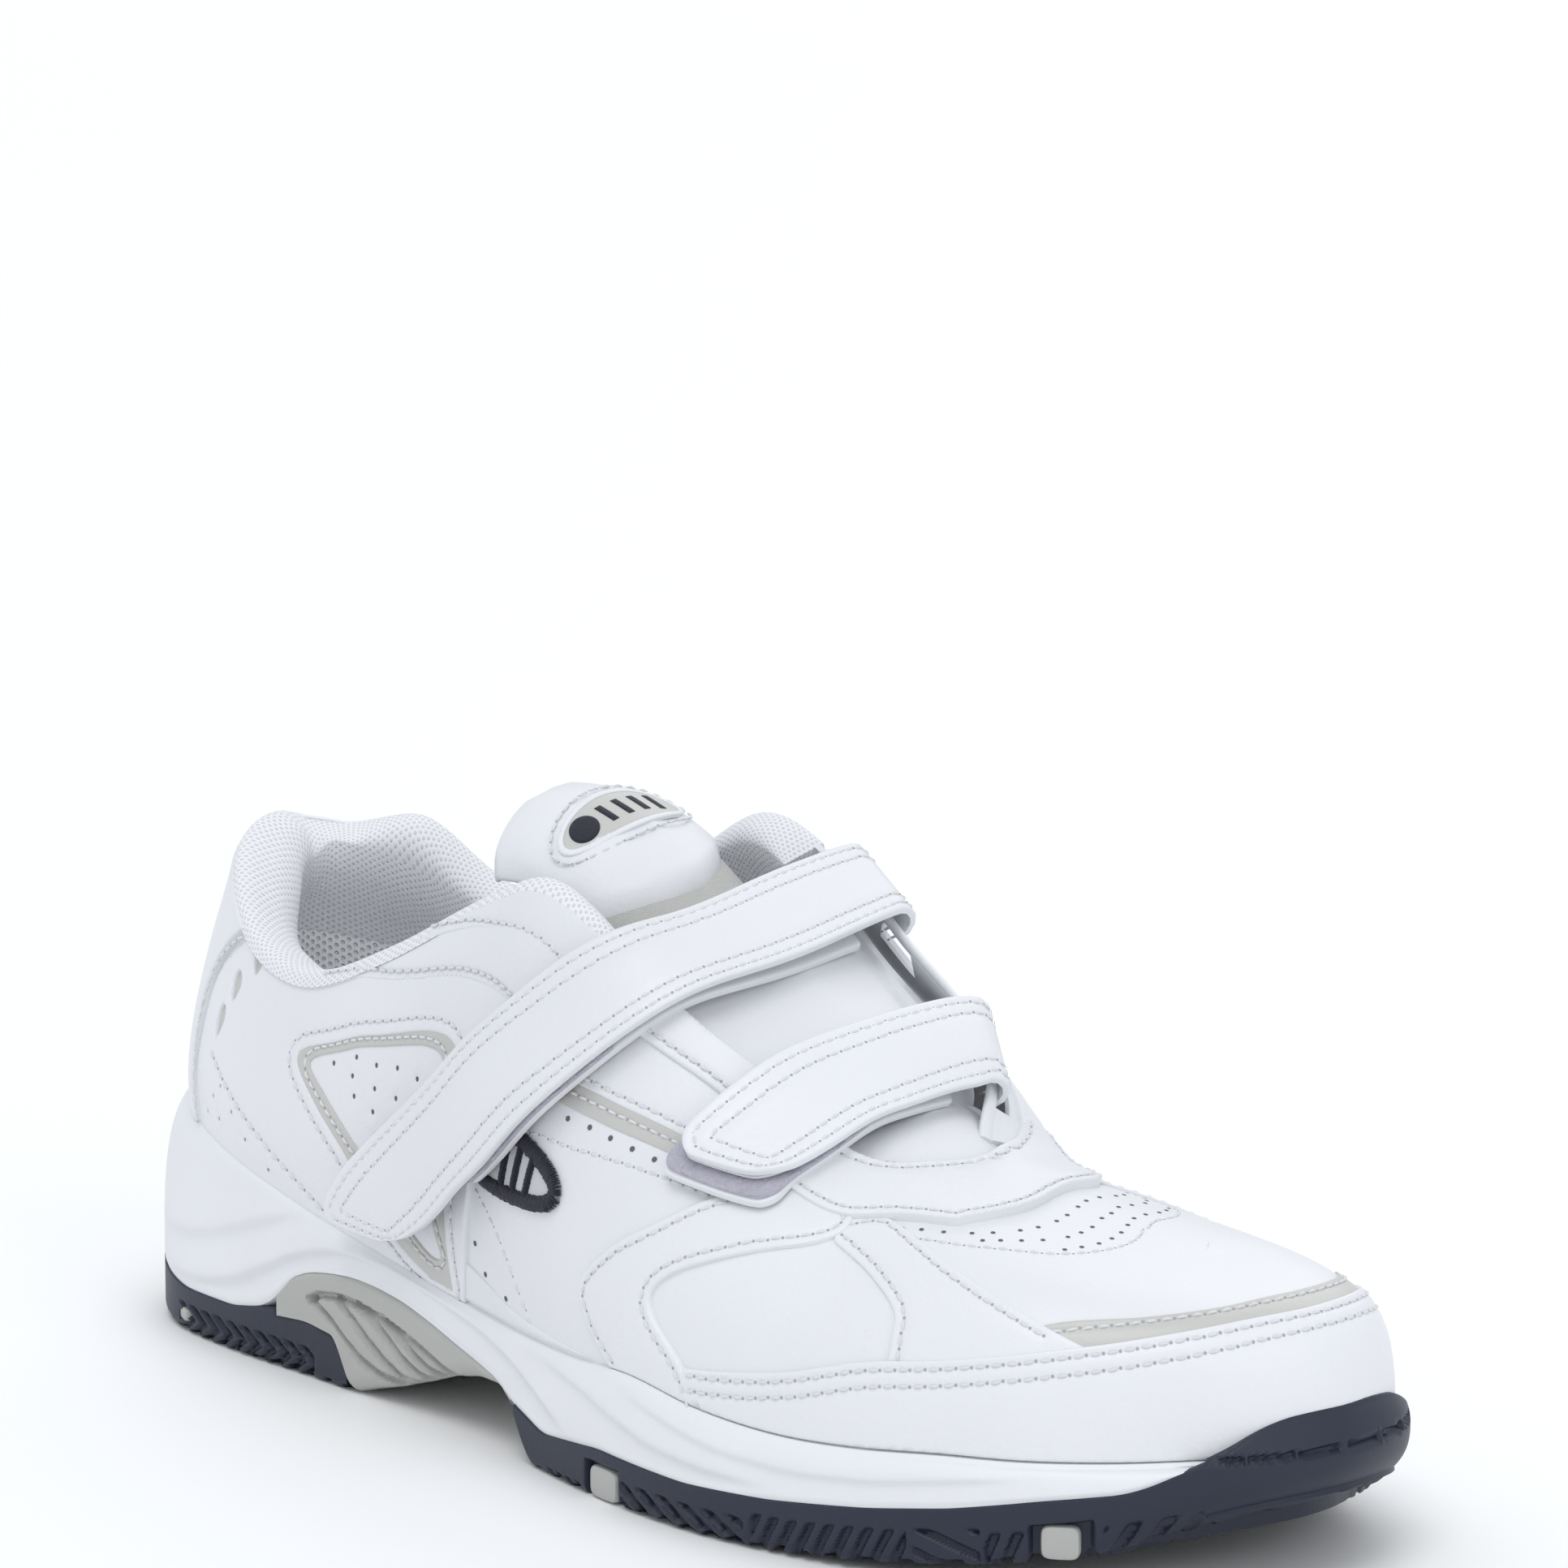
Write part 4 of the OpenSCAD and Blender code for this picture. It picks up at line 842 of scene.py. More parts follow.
def side_grooves(x, h):
    """Depth from 0 to 1 of the grooves in the rubber wall at height h above the ground."""
    def zone(lean, x0, x1, low, high, slope, pitch, duty):
        along = smooth(x, x0, x0 + 1) * (1 - smooth(x, x1 - 1, x1))
        up = smooth(h, low - 0.6, low + 0.6) * (1 - smooth(h, high - 0.6, high + 0.6))
        return along * up * bars(x + slope * lean, pitch, duty)
    total = sum(zone(h, *row) for row in ZONES)
    return np.clip(total + zone(np.abs(h - CHEVRON_MIDDLE), *CHEVRONS), 0, 1)


def tread(x, y):
    """Depth of the tread's grooves, from 0 to 1: herringbone bars, a pivot disc under the ball
    and flex channels across."""
    zig = np.abs((y + 2) % 22 - 11)
    herring = bars(x + 0.75 * zig, 6.0, 0.42)
    r = np.hypot(x - 72, y - 4)
    disc = bars(r, 4.2, 0.4) * (r > 4)
    inner = 1 - smooth(r, 20, 20.6)
    rim = smooth(r, 20, 20.4) * (1 - smooth(r, 22, 22.4))
    flex = np.maximum.reduce([1 - smooth(np.abs(x - 0.0009 * (y - 5) ** 2 - c), 1.2, 1.8)
                              for c in (38, 104)])
    return np.clip(np.maximum.reduce([herring * (1 - inner), disc * inner, rim, flex]), 0, 1)


# The pods in the rubber wall: where they are along the shoe and half their length; their height.
POD_X = [(26.5, 4.6), (123, 3.6)]
POD_H = 6.0
# The stretch along the shoe in which the shank comes out from over the rear rubber.
SHANK_SHOWN = (-67.5, -59)


def weld(verts, faces):
    """The same mesh with its points at one place joined."""
    places, index = np.unique(np.round(verts, 4), axis=0, return_inverse=True)
    index = index.ravel()
    joined = [tuple(dict.fromkeys(index[list(f)].tolist())) for f in faces]
    return places, [f for f in joined if len(f) > 2]


def toe_slots(x, y, z):
    """Depth from 0 to 1 of the short slots round the front of the bumper."""
    r = np.hypot(x - 151, y - 10)
    line = (1 - smooth(r, 34, 37)) * (1 - smooth(np.abs(z - 24.9 + 0.02 * r), 0.35, 0.8))
    return line * smooth(np.abs((r + 4) % 8.5 - 4.25), 0.2, 0.5)


def rubber_wall(s, front):
    """One side of the rubber at ribs s: its wall from the ground up, the rounded edge and a
    hidden inner face."""
    x, o, feet = sole_x(s)[:, None], sole_out(s)[:, None], feather(s)[:, None]
    ground = ground_at(x)
    over = curved(BUMPER, s, 0.3)[:, None]
    top = curved(RUBBER, x) + over
    z = ground + (top - ground) * np.linspace(0, 1, 30)[None, :]
    h = z - ground
    # The wall's foot is rounded, and drawn back under the toe.
    out = o - 1.7 * rounding(h, 2.2) - 9.5 * smooth(x, 122, 148) * (1 - np.clip(h / 12, 0, 1)) ** 2.6
    # The bumper leaves the foam for the leather above the feather line.
    climbs = smooth(over, 0.3, 3)
    high = np.maximum(z - feet, 0)
    lean = skin_offset(s, np.maximum(z, feet))
    climbing = np.where(high > 0, lean + 1.3 + (o - 1.3) * np.exp(-(high / 5.2) ** 2), out)
    out = out * (1 - climbs) + climbs * climbing - 1.15 * side_grooves(x, h)
    if front:
        out = out - 1.1 * toe_slots(x, level(s, 0, 0)[:, 1:2], z)
    else:
        # Recessed where the shank laps over it.
        shown = smooth(x, *SHANK_SHOWN)
        under = (top - 1) * (1 - shown) + (ground + 0.15) * shown
        out = out - 1.9 * smooth(x, -86, -82) * smooth(z - under, -0.3, 0.2)
    for px, half in POD_X:
        near = 1 - smooth(np.abs(x - px), half + 0.5, half + 1.1)
        out = out - 2.1 * near * (1 - smooth(h, POD_H + 0.3, POD_H + 1.1))
    s = s[:, None]
    tuck = np.where(climbs > 0.5, np.minimum(lean[:, -1:] - 0.6, o - 2.4), o - 2.4)
    return np.concatenate([
        level(s, out, z), level(s, out[:, -1:] - [[0.35, 0.9]], top + [[0.28, 0.36]]),
        level(s, tuck, top + 0.1), level(s, o - 2.6, np.maximum(curved(CORE, x) - 0.7, ground + 1))], 1)


def floor_between(left, right, n):
    """Rows of n points between the feet of two walls, and each point's share of the way."""
    w = np.linspace(0, 1, n + 2)[None, 1:-1, None]
    a, b = left[:, :1], right[:, :1]
    return a + (b - a) * w, np.minimum(w, 1 - w)[:, :, 0]


def build_outsole(s0, s1, n, front):
    """The navy rubber between lateral ribs s0 and s1, with n sections; front is for the forefoot's."""
    s = np.linspace(s0, s1, n)
    left, right = rubber_wall(s, front), rubber_wall(np.where(s <= 0, RIBS_N, look(PAIRS, s)), front)
    floor, edge = floor_between(left, right, 90)
    edge = edge * np.linalg.norm(right[:, :1] - left[:, :1], axis=2)
    cut = 2.3 * tread(floor[:, :, 0], floor[:, :, 1]) * smooth(edge, 0.2, 1.2)
    floor[:, :, 2] = ground_at(floor[:, :, 0]) + cut
    # The bars of the tread run out over the foot of the wall.
    for wall in (left, right):
        cut = 1.1 * tread(wall[:, 0, 0], wall[:, 0, 1])
        for k, share in enumerate((1.0, 0.8, 0.5, 0.2)):
            wall[:, k, 2] += cut * share
    rows = np.concatenate([left[:, ::-1], floor, right], 1)
    verts, faces = loft(rows, caps=False)
    count = rows.shape[1]
    faces.append(range(count) if front else range(len(verts) - 1, len(verts) - 1 - count, -1))
    return weld(verts, [f[::-1] for f in faces])


def leaf_groove(line, x, z):
    """1 along a curve of places (x, z) on the wall, fading out beside it."""
    line = np.array(line, float)
    d = np.full(x.shape, 1e9)
    for a, b in zip(line[:-1], line[1:]):
        ab = b - a
        f = np.clip(((x - a[0]) * ab[0] + (z - a[1]) * ab[1]) / (ab @ ab), 0, 1)
        d = np.minimum(d, np.hypot(x - a[0] - f * ab[0], z - a[1] - f * ab[1]))
    return 1 - smooth(d, 0.245, 1.05)


# Grooves of the leaf moulded in the wall of the shank, as places (x, z).
LEAF = [[[-74, 16.6], [-71, 18.0], [-64, 18.8], [-58, 18.5], [-50, 17.4], [-41, 15.3], [-34, 13.2],
         [-26, 10.7]],
        [[-74, 16.6], [-71, 15.5], [-67, 13.6], [-63, 10.8], [-58, 8.1], [-52, 6.4], [-44, 5.9], [-36, 7.0],
         [-26, 10.7]],
        [[-66, 18.6], [-61, 15.9], [-56, 12.6], [-50, 9.4], [-44, 7.2], [-38, 6.7]],
        [[-60, 18.7], [-54, 16.8], [-49, 14.2], [-44, 11.1], [-38, 9.0], [-32, 8.4]],
        [[-50, 17.5], [-45, 15.1], [-40, 12.6], [-35, 10.9], [-29, 9.9]]]


def shank_wall(s):
    """One side of the shank at ribs s: its wall from below to the top, and a hidden inner face."""
    x, o = sole_x(s)[:, None], sole_out(s)[:, None]
    shown = smooth(x, *SHANK_SHOWN)
    heel_top = curved(RUBBER, x) - 1.0
    low = ground_at(x) + 0.15
    bottom = np.where(x < -64, np.maximum(heel_top, low), low)
    bottom = bottom + (heel_top * (1 - shown) + low * shown - bottom) * (np.abs(x + 64) < 8)
    top = np.maximum(curved(WRAP, x), bottom + 0.3)
    z = bottom + (top - bottom) * np.linspace(0, 1, 44)[None, :]
    out = o + 0.25 - 2.6 * rounding(z - low, 3.2) * shown - 0.9 * rounding(top - z, 1.0)
    for line in LEAF:
        out = out - 1.5 * leaf_groove(line, x + 0 * z, z + 0.8)
    s = s[:, None]
    return np.concatenate([level(s, out, z), level(s, o - 2.0, top - 0.1),
                           level(s, o - 2.3, np.minimum(bottom + 1.0, top - 0.1))], 1)


def build_shank():
    """The grey shank: a bottom plate between two walls that lap over the foam."""
    s = np.linspace(3.62, 6.9, 150)
    left, right = shank_wall(s), shank_wall(look(PAIRS, s))
    floor, edge = floor_between(left, right, 24)
    rib = np.exp(-((np.abs(floor[:, :, 1] - 2) - 14) / 4) ** 2) * smooth(floor[:, :, 0], -58, -50)
    floor[:, :, 2] += (0.9 - 0.9 * rib) * smooth(edge, 0, 0.08)
    verts, faces = loft(np.concatenate([left[:, ::-1], floor, right], 1))
    return verts, [f[::-1] for f in faces]


def rounded_bar(s, out, z, length, height, deep):
    """A bar set in the wall at rib s, with rounded edges: its outline is a superellipse, and its
    face bows."""
    s = np.array([s])
    outward = -inward(s)[0]
    along = np.cross(UP, -outward)
    centre = level(s, sole_out(s) + out, np.array([z]))[0]
    a = np.linspace(0, 2 * math.pi, 28, endpoint=False)
    u, v = (np.sign(c) * np.abs(c) ** 0.45 for c in (np.cos(a), np.sin(a)))
    rings = []
    for share, d in ((1.0, -deep), (1.0, -0.6), (0.93, -0.15), (0.75, 0.05), (0.4, 0.12)):
        rings.append(centre + np.outer(u * length / 2 * share, along) + np.outer(v * height / 2 * share, UP)
                     + outward * d)
    return loft(np.array(rings))


def build_pods():
    """Two pods in each side of the rubber wall."""
    parts = []
    for px, half in POD_X:
        for places in (STATIONS[100:], look(PAIRS, STATIONS[100:])):
            s = np.interp(px, sole_x(places), places)
            base = float(ground_at(np.array([px]))[0])
            parts.append(rounded_bar(s, -0.25, base + 0.3 + POD_H / 2, 2 * half - 0.4, POD_H, 2.2))
    return merged(parts)


piece("midsole_foam", *build_midsole(), FOAM, slot="white_foam", replaces=["midsole"])
piece("outsole_front", *build_outsole(7.0, 18.0, 460, True), NAVY, slot="navy_rubber",
      replaces=["outsole_forefoot"], sharp=50)
piece("outsole_rear", *build_outsole(0.0, 4.5, 230, False), NAVY, slot="navy_rubber",
      replaces=["outsole_heel"], sharp=50)
piece("arch_shank", *build_shank(), TPU, slot="grey_tpu", replaces=["shank"])
piece("wall_pods", *build_pods(), TPU, slot="grey_tpu", replaces=["forefoot_pods"])
piece("heel_bar", *rounded_bar(2.25, -0.1, 3.6, 5.6, 2.6, 2.0), TPU, slot="grey_tpu",
      replaces=["heel_plug"])

# ---- the upper --------------------------------------------------------------------------


def base_layer(name, chart, us, vs, outer, inner, mat, slot, replaces, trim=None):
    """A layer over a grid of places, between two distances from the surface. us and vs are
    (from, to, how many), and trim moves the places."""
    u, v = np.meshgrid(np.linspace(*us), np.linspace(*vs), indexing="ij")
    if trim:
        u, v = trim(u, v)
    uv = np.stack([u.ravel(), v.ravel()], 1)
    rows = (chart(uv, d).reshape(*u.shape, 3) for d in (outer, inner))
    return piece(name, *shell(*rows), mat, slot=slot, replaces=replaces,
                 uv=np.tile(uv * chart.size, (2, 1)))


def mirror(points):
    """Lateral places (s, t) moved to the medial side."""
    return [(float(look(PAIRS, p[0])), *p[1:]) for p in points]


SIDES = (("lateral", 1, list), ("medial", -1, mirror))


def sew(points, top, chart=SIDE, offset=0.0, pitch=2.7, rows=(0.0,), closed=False, body="shoe"):
    """Rows of stitches along places, offset to the left; a groove for each comes back."""
    out = []
    path = curve(points, chart, closed)
    for row in rows:
        way = beside(chart, path, offset + row, closed) if offset + row else path
        thread(chart, way, top - 0.1, body, pitch, closed=closed)
        out.append(way)
    return out


def clear_throat(s, t):
    """The quarters' top edge drops ahead of the straps, clear of the throat's opening."""
    low = smooth(s, 10.2, 11.2) * (1 - smooth(s, 27.5, 28.6))
    return s, t * (1 - 0.13 * low)


def clear_point(u, v):
    """The vamp's rear edge starts a little further forward at the point of the throat."""
    return u + (1 - u) * 0.035 * (1 - smooth(np.abs(v - 1), 0.08, 0.12)), v


for name, chart, us, vs, node, trim in (
        ("quarter_lateral", SIDE, (0.0, 12.05, 190), (-0.01, 0.975, 56), "lateral_quarter", clear_throat),
        ("quarter_medial", SIDE, (22.95, 34.0, 180), (-0.01, 0.975, 56), "medial_quarter", clear_throat),
        ("vamp_leather", VAMP, (0, 1, 110), (-0.01, 2.01, 110), "vamp", clear_point)):
    base_layer(name, chart, us, vs, 0.0, -1.3, WHITE, "white_leather", [node], trim)

TOP = 1.12  # how far the top of a panel is from the surface
# The opening of the quarter's window from its upper rear corner, the inner edge of its trim, and
# the perforations.
OPENING = [(3.93, .60), (4.05, .675), (4.5, .712), (4.9, .722), (5.7, .685), (6.05, .6), (5.95, .4),
           (5.85, .2), (5.85, .03, 1), (5.55, .03, 1), (5.17, .09), (4.75, .23), (4.52, .33), (4.2, .46)]
INSET = [(4.1, .6), (4.2, .65), (4.55, .677), (4.9, .687), (5.6, .655), (5.85, .58), (5.75, .4),
         (5.65, .2), (5.72, .1), (5.5, .1), (5.15, .19), (4.85, .3), (4.62, .38), (4.32, .5)]
VENTS = [(4.42, .632), (4.73, .655), (5.0, .625), (5.26, .61), (4.68, .59), (4.98, .55), (4.7, .52),
         (5.25, .52), (4.95, .475), (5.2, .43), (4.98, .40), (5.45, .47), (5.5, .57)]
# The holes at the heel as (s, t, width, height).
HEEL_HOLES = [(3.02, .905, 3.6, 5.2), (2.68, .70, 3.8, 6.4), (2.52, .5, 3.6, 7.0)]


def scaled(points, middle_s, middle_t, by_s, by_t):
    """Places moved away from a middle by a share of their distance from it."""
    return [(s + (s - middle_s) * by_s, t + (t - middle_t) * by_t, *c) for s, t, *c in points]


def teardrop(s, t, wide, tall, lean):
    """A closed curve round (s, t): an ellipse with a pointed lower end, in millimetres."""
    a = np.linspace(0, 2 * math.pi, 12, endpoint=False)
    x = wide / 2 * np.cos(a) * (1 + 0.3 * np.sin(a)) + lean * np.sin(a) * tall / 4
    places = SIDE.shift(np.tile([s, t], (12, 1)), 0)
    along, up = (unit(e) for e in SIDE.slopes(places))
    return SIDE.shift(places, along * x[:, None] + up * (tall / 2 * np.sin(a))[:, None]).tolist()


def cornered(line):
    """A line of places whose two ends are corners."""
    return [(*line[0], 1), *line[1:-1], (*line[-1], 1)]


pricked = []
for side, sign, on in SIDES:
    # The overlay behind the strap with its window and holes, and its seams.
    quarter = on([(2.05, .012, 1), (2.12, .3), (2.2, .62), (2.75, .955), (3.2, .97), (4.3, .968),
                  (5.6, .90), (7.0, .80, 1), (6.75, .6), (6.3, .3), (6.0, .012, 1)])
    opening = on(OPENING)
    rows = sew(opening, TOP, offset=2.6 * sign, closed=True)
    drops = [teardrop(*hole, 0.35 * sign) for hole in on(HEEL_HOLES)]
    rows += sew(on([(2.45, .36), (3.0, .27), (3.6, .16), (4.3, .04)]), TOP, pitch=3.1)
    pricks = on([(2.75, .27), (2.62, .2), (2.98, .21), (2.75, .13), (3.2, .14), (3.5, .08), (2.5, .11)])
    panel("rear_quarter_" + side, quarter, WHITE, cutouts=[opening] + drops, grooves=rows, holes=pricks,
          hole_r=0.42, replaces=[side + "_collar_panel"])
    pricked.append((side, pricks))
    inlay = on([(2.3, .38), (2.3, .6), (2.7, .95), (3.35, .95), (3.2, .7), (2.9, .4)])
    panel("quarter_inlay_" + side, inlay, GREY, height=0.25, base=0.02, slot="grey_leather", low=-0.2,
          replaces=["heel_inlay"] if sign > 0 else ())
    trim = sew(on(INSET), 0.85, offset=1.5 * sign, closed=True, pitch=2.5)
    panel("window_trim_" + side, on(scaled(OPENING, 5, .42, .05, .06)), GREY, cutouts=[on(INSET)],
          grooves=trim, height=0.7, base=0.15, spacing=2.6, slot="grey_leather", low=-0.2,
          replaces=[side + "_window_piping"])
    panel("window_mesh_" + side, on(scaled(INSET, 5, .42, .03, .03)), WHITE, holes=on(VENTS), height=0.35,
          base=0.08, hole_r=0.55, low=-0.1)
    # A dark sheet under the window's mesh: painted shade seen through its holes.
    panel("window_hole_shade_" + side, on([(4.3, .66), (5.6, .64), (5.7, .5), (5.3, .36), (4.85, .38),
                                     (4.3, .58)]), HOLE_SHADE, height=0.1, base=0.02, low=-0.1)
    # The band and the grey stripe between the straps.
    low = [(7.67, .662), (8.39, .694), (9.10, .718)]
    band = on([(6.6, .56, 1), *low, (10.6, .755, 1), (10.6, .9, 1), (7.2, .9, 1)])
    rows = sew(on([(6.7, .58), *low, (10.5, .755)]), 0.7, offset=1.5 * sign)
    panel("side_band_" + side, band, WHITE, grooves=rows, height=0.6, base=0.1)
    stripe = on([(6.7, .52, 1), (7.67, .6), (8.39, .63), (9.10, .655), (9.9, .67, 1), (9.9, .75, 1), (8.4, .72),
                 (6.7, .62, 1)])
    rows = sew(on([(6.8, .565), (7.67, .637), (8.39, .668), (9.10, .692), (9.8, .71)]), 0.35, pitch=2.4)
    panel("side_stripe_" + side, stripe, GREY, grooves=rows, height=0.3, base=0.05, spacing=2.6,
          slot="grey_leather", replaces=["lateral_stripe"] if sign > 0 else ())
    collar = on([(3.95, .972, 1), (4.55, .945), (5.46, .848), (6.54, .763), (7.2, .7, 1), (7.6, .955, 1)])
    rows = sew(on([(4.2, .962), (4.7, .933), (5.46, .848), (6.54, .763), (7.15, .7)]), TOP + 0.55,
               offset=1.6 * sign)
    panel("collar_side_" + side, collar, WHITE, grooves=rows, base=0.4, swell=0.6, soft=9)
    # The band along the throat, which differs between the sides, and its lower seam.
    if sign > 0:
        low = [(5.9, .93), (6.45, .893), (7.0, .875), (7.6, .86), (8.51, .872), (9.24, .872), (10.2, .83)]
        stay = [(5.2, .975, 1), *low, (11.2, .77, 1), (11.5, .8, 1), (11.3, .86, 1), (10.4, .93),
                (9.6, .98), (8.2, .988, 1)]
        seam = [(5.45, .968), *low]
    else:
        low = [(24.2, .72), (25.4, .72), (26.4, .7), (27.5, .68), (28.2, .70)]
        stay = [(23.1, .77, 1), *low, (29.5, .93), (30.0, .975, 1), (27.8, .97, 1), (27.4, .89, 1),
                (25.6, .89), (23.1, .855, 1)]
        seam = [*low, (29.4, .92)]
    rows = sew(seam, TOP + 0.75, offset=1.6 * sign)
    panel("eyestay_" + side, stay, WHITE, grooves=rows, base=0.75, swell=0.3, soft=7,
          replaces=[side + "_eyestay"])
    sew(on([(6.9, .455), (7.28, .479), (8.34, .545), (9.26, .588), (9.8, .61)]), 0.12)
    if sign > 0:
        sew([(6.32, .31), (6.75, .2), (7.2, .03)], 0.12, pitch=3.2)
    # The broad band of the forefoot, round the rear of the plain side window.
    rear = [(9.95, .66), (9.63, .574), (9.17, .433), (8.64, .312), (8.22, .200), (8.31, .106), (8.70, .012)]
    front = [(9.98, .012), (9.75, .1), (9.36, .19), (9.36, .27), (9.75, .375), (10.43, .488), (11.09, .565),
             (11.33, .62), (11.26, .698), (10.80, .79)]
    rows = sew(on(rear), TOP, offset=1.7 * sign) + sew(on(front), TOP, offset=1.7 * sign)
    panel("forefoot_band_" + side, on(cornered(rear) + cornered(front)), WHITE, grooves=rows,
          replaces=[side + "_forefoot_overlay"])
    # The wing ahead of that window.
    back = [(12.36, .19), (12.37, .25), (12.33, .33), (11.9, .44), (11.25, .575)]
    crest = [(11.2, .66), (11.7, .672), (12.3, .59), (13.0, .49), (14.2, .355)]
    wing = on([*cornered(back), (*crest[0], 1), *crest[1:-1], (14.7, .3, 1), (13.9, .22, 1)])
    rows = sew(on(back), 0.7, offset=-1.8 * sign) + sew(on(crest), 0.7, offset=-1.5 * sign)
    panel("wing_" + side, wing, WHITE, grooves=rows, height=0.6, base=0.1)

# The cap over the toe, from the lateral to the medial ball.
brow = [(9.82, .1), (10.6, .13), (11.95, .183), (13.0, .21), (13.87, .255), (14.8, .32), (15.69, .392),
        (16.6, .462), (17.4, .495), (18.2, .50), (19.0, .465), (19.9, .39), (20.8, .295), (21.8, .22),
        (23, .165), (24.1, .12)]
rows = sew(brow, TOP, offset=-1.5, rows=(0, -2.6), pitch=2.9)
panel("toe_leather", [(9.75, .012, 1), (9.78, .09, 1), *brow[1:-1], (24.3, .1, 1), (24.35, .012, 1)],
      WHITE, grooves=rows, height=0.95, base=0.2, spacing=3.2, replaces=["toe_cap"], depth=0.3)
low = [(13.2, .2), (14.8, .3), (16.6, .44), (18.2, .48), (19.9, .37), (20.6, .3)]
high = [(20.1, .46), (19.3, .545), (18.6, .605), (17.9, .63), (17.2, .615), (16.4, .56), (15.3, .465),
        (14.2, .375)]
rows = sew([(14.2, .345), (15.3, .44), (16.4, .535), (17.2, .585), (17.9, .6), (18.6, .575), (19.3, .515),
            (20.1, .43)], 0.35)
panel("toe_stripe", cornered(low) + high, GREY, grooves=rows, height=0.3, base=0.05, spacing=2.8,
      slot="grey_leather", replaces=["toe_trim"])

# The piece round the front of the throat, and the vents ahead of it.
U_OUT = [(-.3, .74, 1), (-.2, .69), (-.112, .664), (0, .668), (.095, .69), (.12, .72), (.175, .8),
         (.215, .89), (.23, 1.0), (.215, 1.11), (.175, 1.2), (.12, 1.28), (.095, 1.31), (0, 1.332),
         (-.12, 1.32), (-.2, 1.29, 1)]
U_IN = [(-.2, 1.15), (-.1, 1.13), (-.02, 1.09), (.025, 1.03), (.035, .985), (.01, .94), (-.07, .90),
        (-.18, .895), (-.3, .92)]
rows = sew(U_OUT, TOP + 0.9, chart=VAMP, offset=1.6)
rows += sew(U_IN, TOP + 0.9, chart=VAMP, offset=2.0)
panel("throat_piece", U_OUT + cornered(U_IN), WHITE, chart=VAMP, grooves=rows, base=1.0,
      replaces=["throat_band"])


def rings_round(at, nrm, side, radius, n):
    """Points of flat rings of n points round the points at, square to nrm and from side."""
    a = circle(n)[None, :, None]
    return at[:, None] + radius * (side[:, None] * np.cos(a) + np.cross(nrm, side)[:, None] * np.sin(a))


def shade_discs(name, places, chart, radius, d):
    """Small dark discs of painted shade: the mouths of punched holes."""
    places = np.array(places, float)
    at, nrm = chart(places, d), chart.normals(places)
    sides, n = 10, len(places)
    ring = rings_round(at, nrm, unit(np.cross(nrm, [0.3, 0.2, 0.9])), radius, sides)
    faces = [(k * sides + i, k * sides + (i + 1) % sides, n * sides + k)
             for k in range(n) for i in range(sides)]
    return piece(name, np.concatenate([ring.reshape(-1, 3), at]), faces, HOLE_SHADE, slot="white_leather")


def both_sides(half):
    """Places of the lateral half of the vamp, and the same places mirrored to the medial half."""
    return half + [(u, 2 - v) for u, v in half[-2::-1]]


VENT_ROWS = [[(0.0, .635), (.1, .66), (.19, .725), (.25, .81), (.28, .9), (.29, 1.0)],
             [(.17, .665), (.24, .72), (.31, .8), (.35, .9), (.365, 1.0)],
             [(.33, .745), (.39, .83), (.425, .92), (.435, 1.0)]]
vents = []
for row, n in zip(VENT_ROWS, (19, 15, 11)):
    whole = curve(both_sides(row), VAMP)
    vents += [whole[int(k)] for k in np.linspace(0, len(whole) - 1, n)]
# Dark discs of painted shade at the vamp's vents.
shade_discs("vamp_vent_shade", vents, VAMP, 0.44, 0.08)
sew(both_sides([(.02, .60), (.15, .625), (.32, .711), (.43, .83), (.48, .93), (.49, 1.0)]), 0.12,
    chart=VAMP)
SIDE_VENTS = [(7.49, .560), (7.78, .578), (8.06, .594), (8.35, .601), (8.65, .608), (8.94, .615)]
LOW_VENTS = [(6.0, .20), (6.27, .17), (6.05, .135), (6.4, .105), (6.75, .07), (6.45, .045)]
# Dark discs of painted shade at the side vents and at the quarters' pricks.
shade_discs("side_vent_shade_lateral", SIDE_VENTS + LOW_VENTS, SIDE, 0.55, 0.08)
shade_discs("side_vent_shade_medial", mirror(SIDE_VENTS), SIDE, 0.55, 0.08)
for side, places in pricked:
    shade_discs("quarter_prick_shade_" + side, places, SIDE, 0.42, 0.1)

# The cover round the heel, from its front edge on the lateral side to that on the medial side.
cap_front = [(2.62, .955, 1), (2.42, .85), (2.2, .72), (2.06, .59), (2.0, .45), (2.06, .25),
             (2.22, .012, 1)]
cap_back = [(-s, t, *c) for s, t, *c in cap_front[::-1]]
rows = sew(cap_front, TOP + 0.9, offset=1.7) + sew(cap_back, TOP + 0.9, offset=1.7)
panel("heel_cover", cap_front + cap_back, WHITE, grooves=rows, base=0.9, height=1.05, swell=0.3, soft=14,
      replaces=["heel_cap"])
for name, outline in (("lateral_saddle", [(5.6, .02, 1), (5.9, .12), (6.9, .05), (8.3, .02, 1)]),
                      ("medial_saddle", [(26.4, .02, 1), (27.3, .06), (28.3, .12), (28.8, .02, 1)])):
    panel("low_" + name, outline, WHITE, height=0.4, base=0.05, replaces=[name])

# ---- the straps -------------------------------------------------------------------------

# How thick a strap is, and how far the undersides of the lower leaf, the pile and the upper leaf
# are from the surface; then the radius of the fold and its rise.
STRAP_T = 1.5
STACK = 1.9
PILE_AT = STACK + STRAP_T + 0.3
UPPER_AT = PILE_AT + 1.9
FOLD_R, FOLD_RISE = 3.1, 0.4
ROW_STEP = 1.6  # between the rows of a ribbon
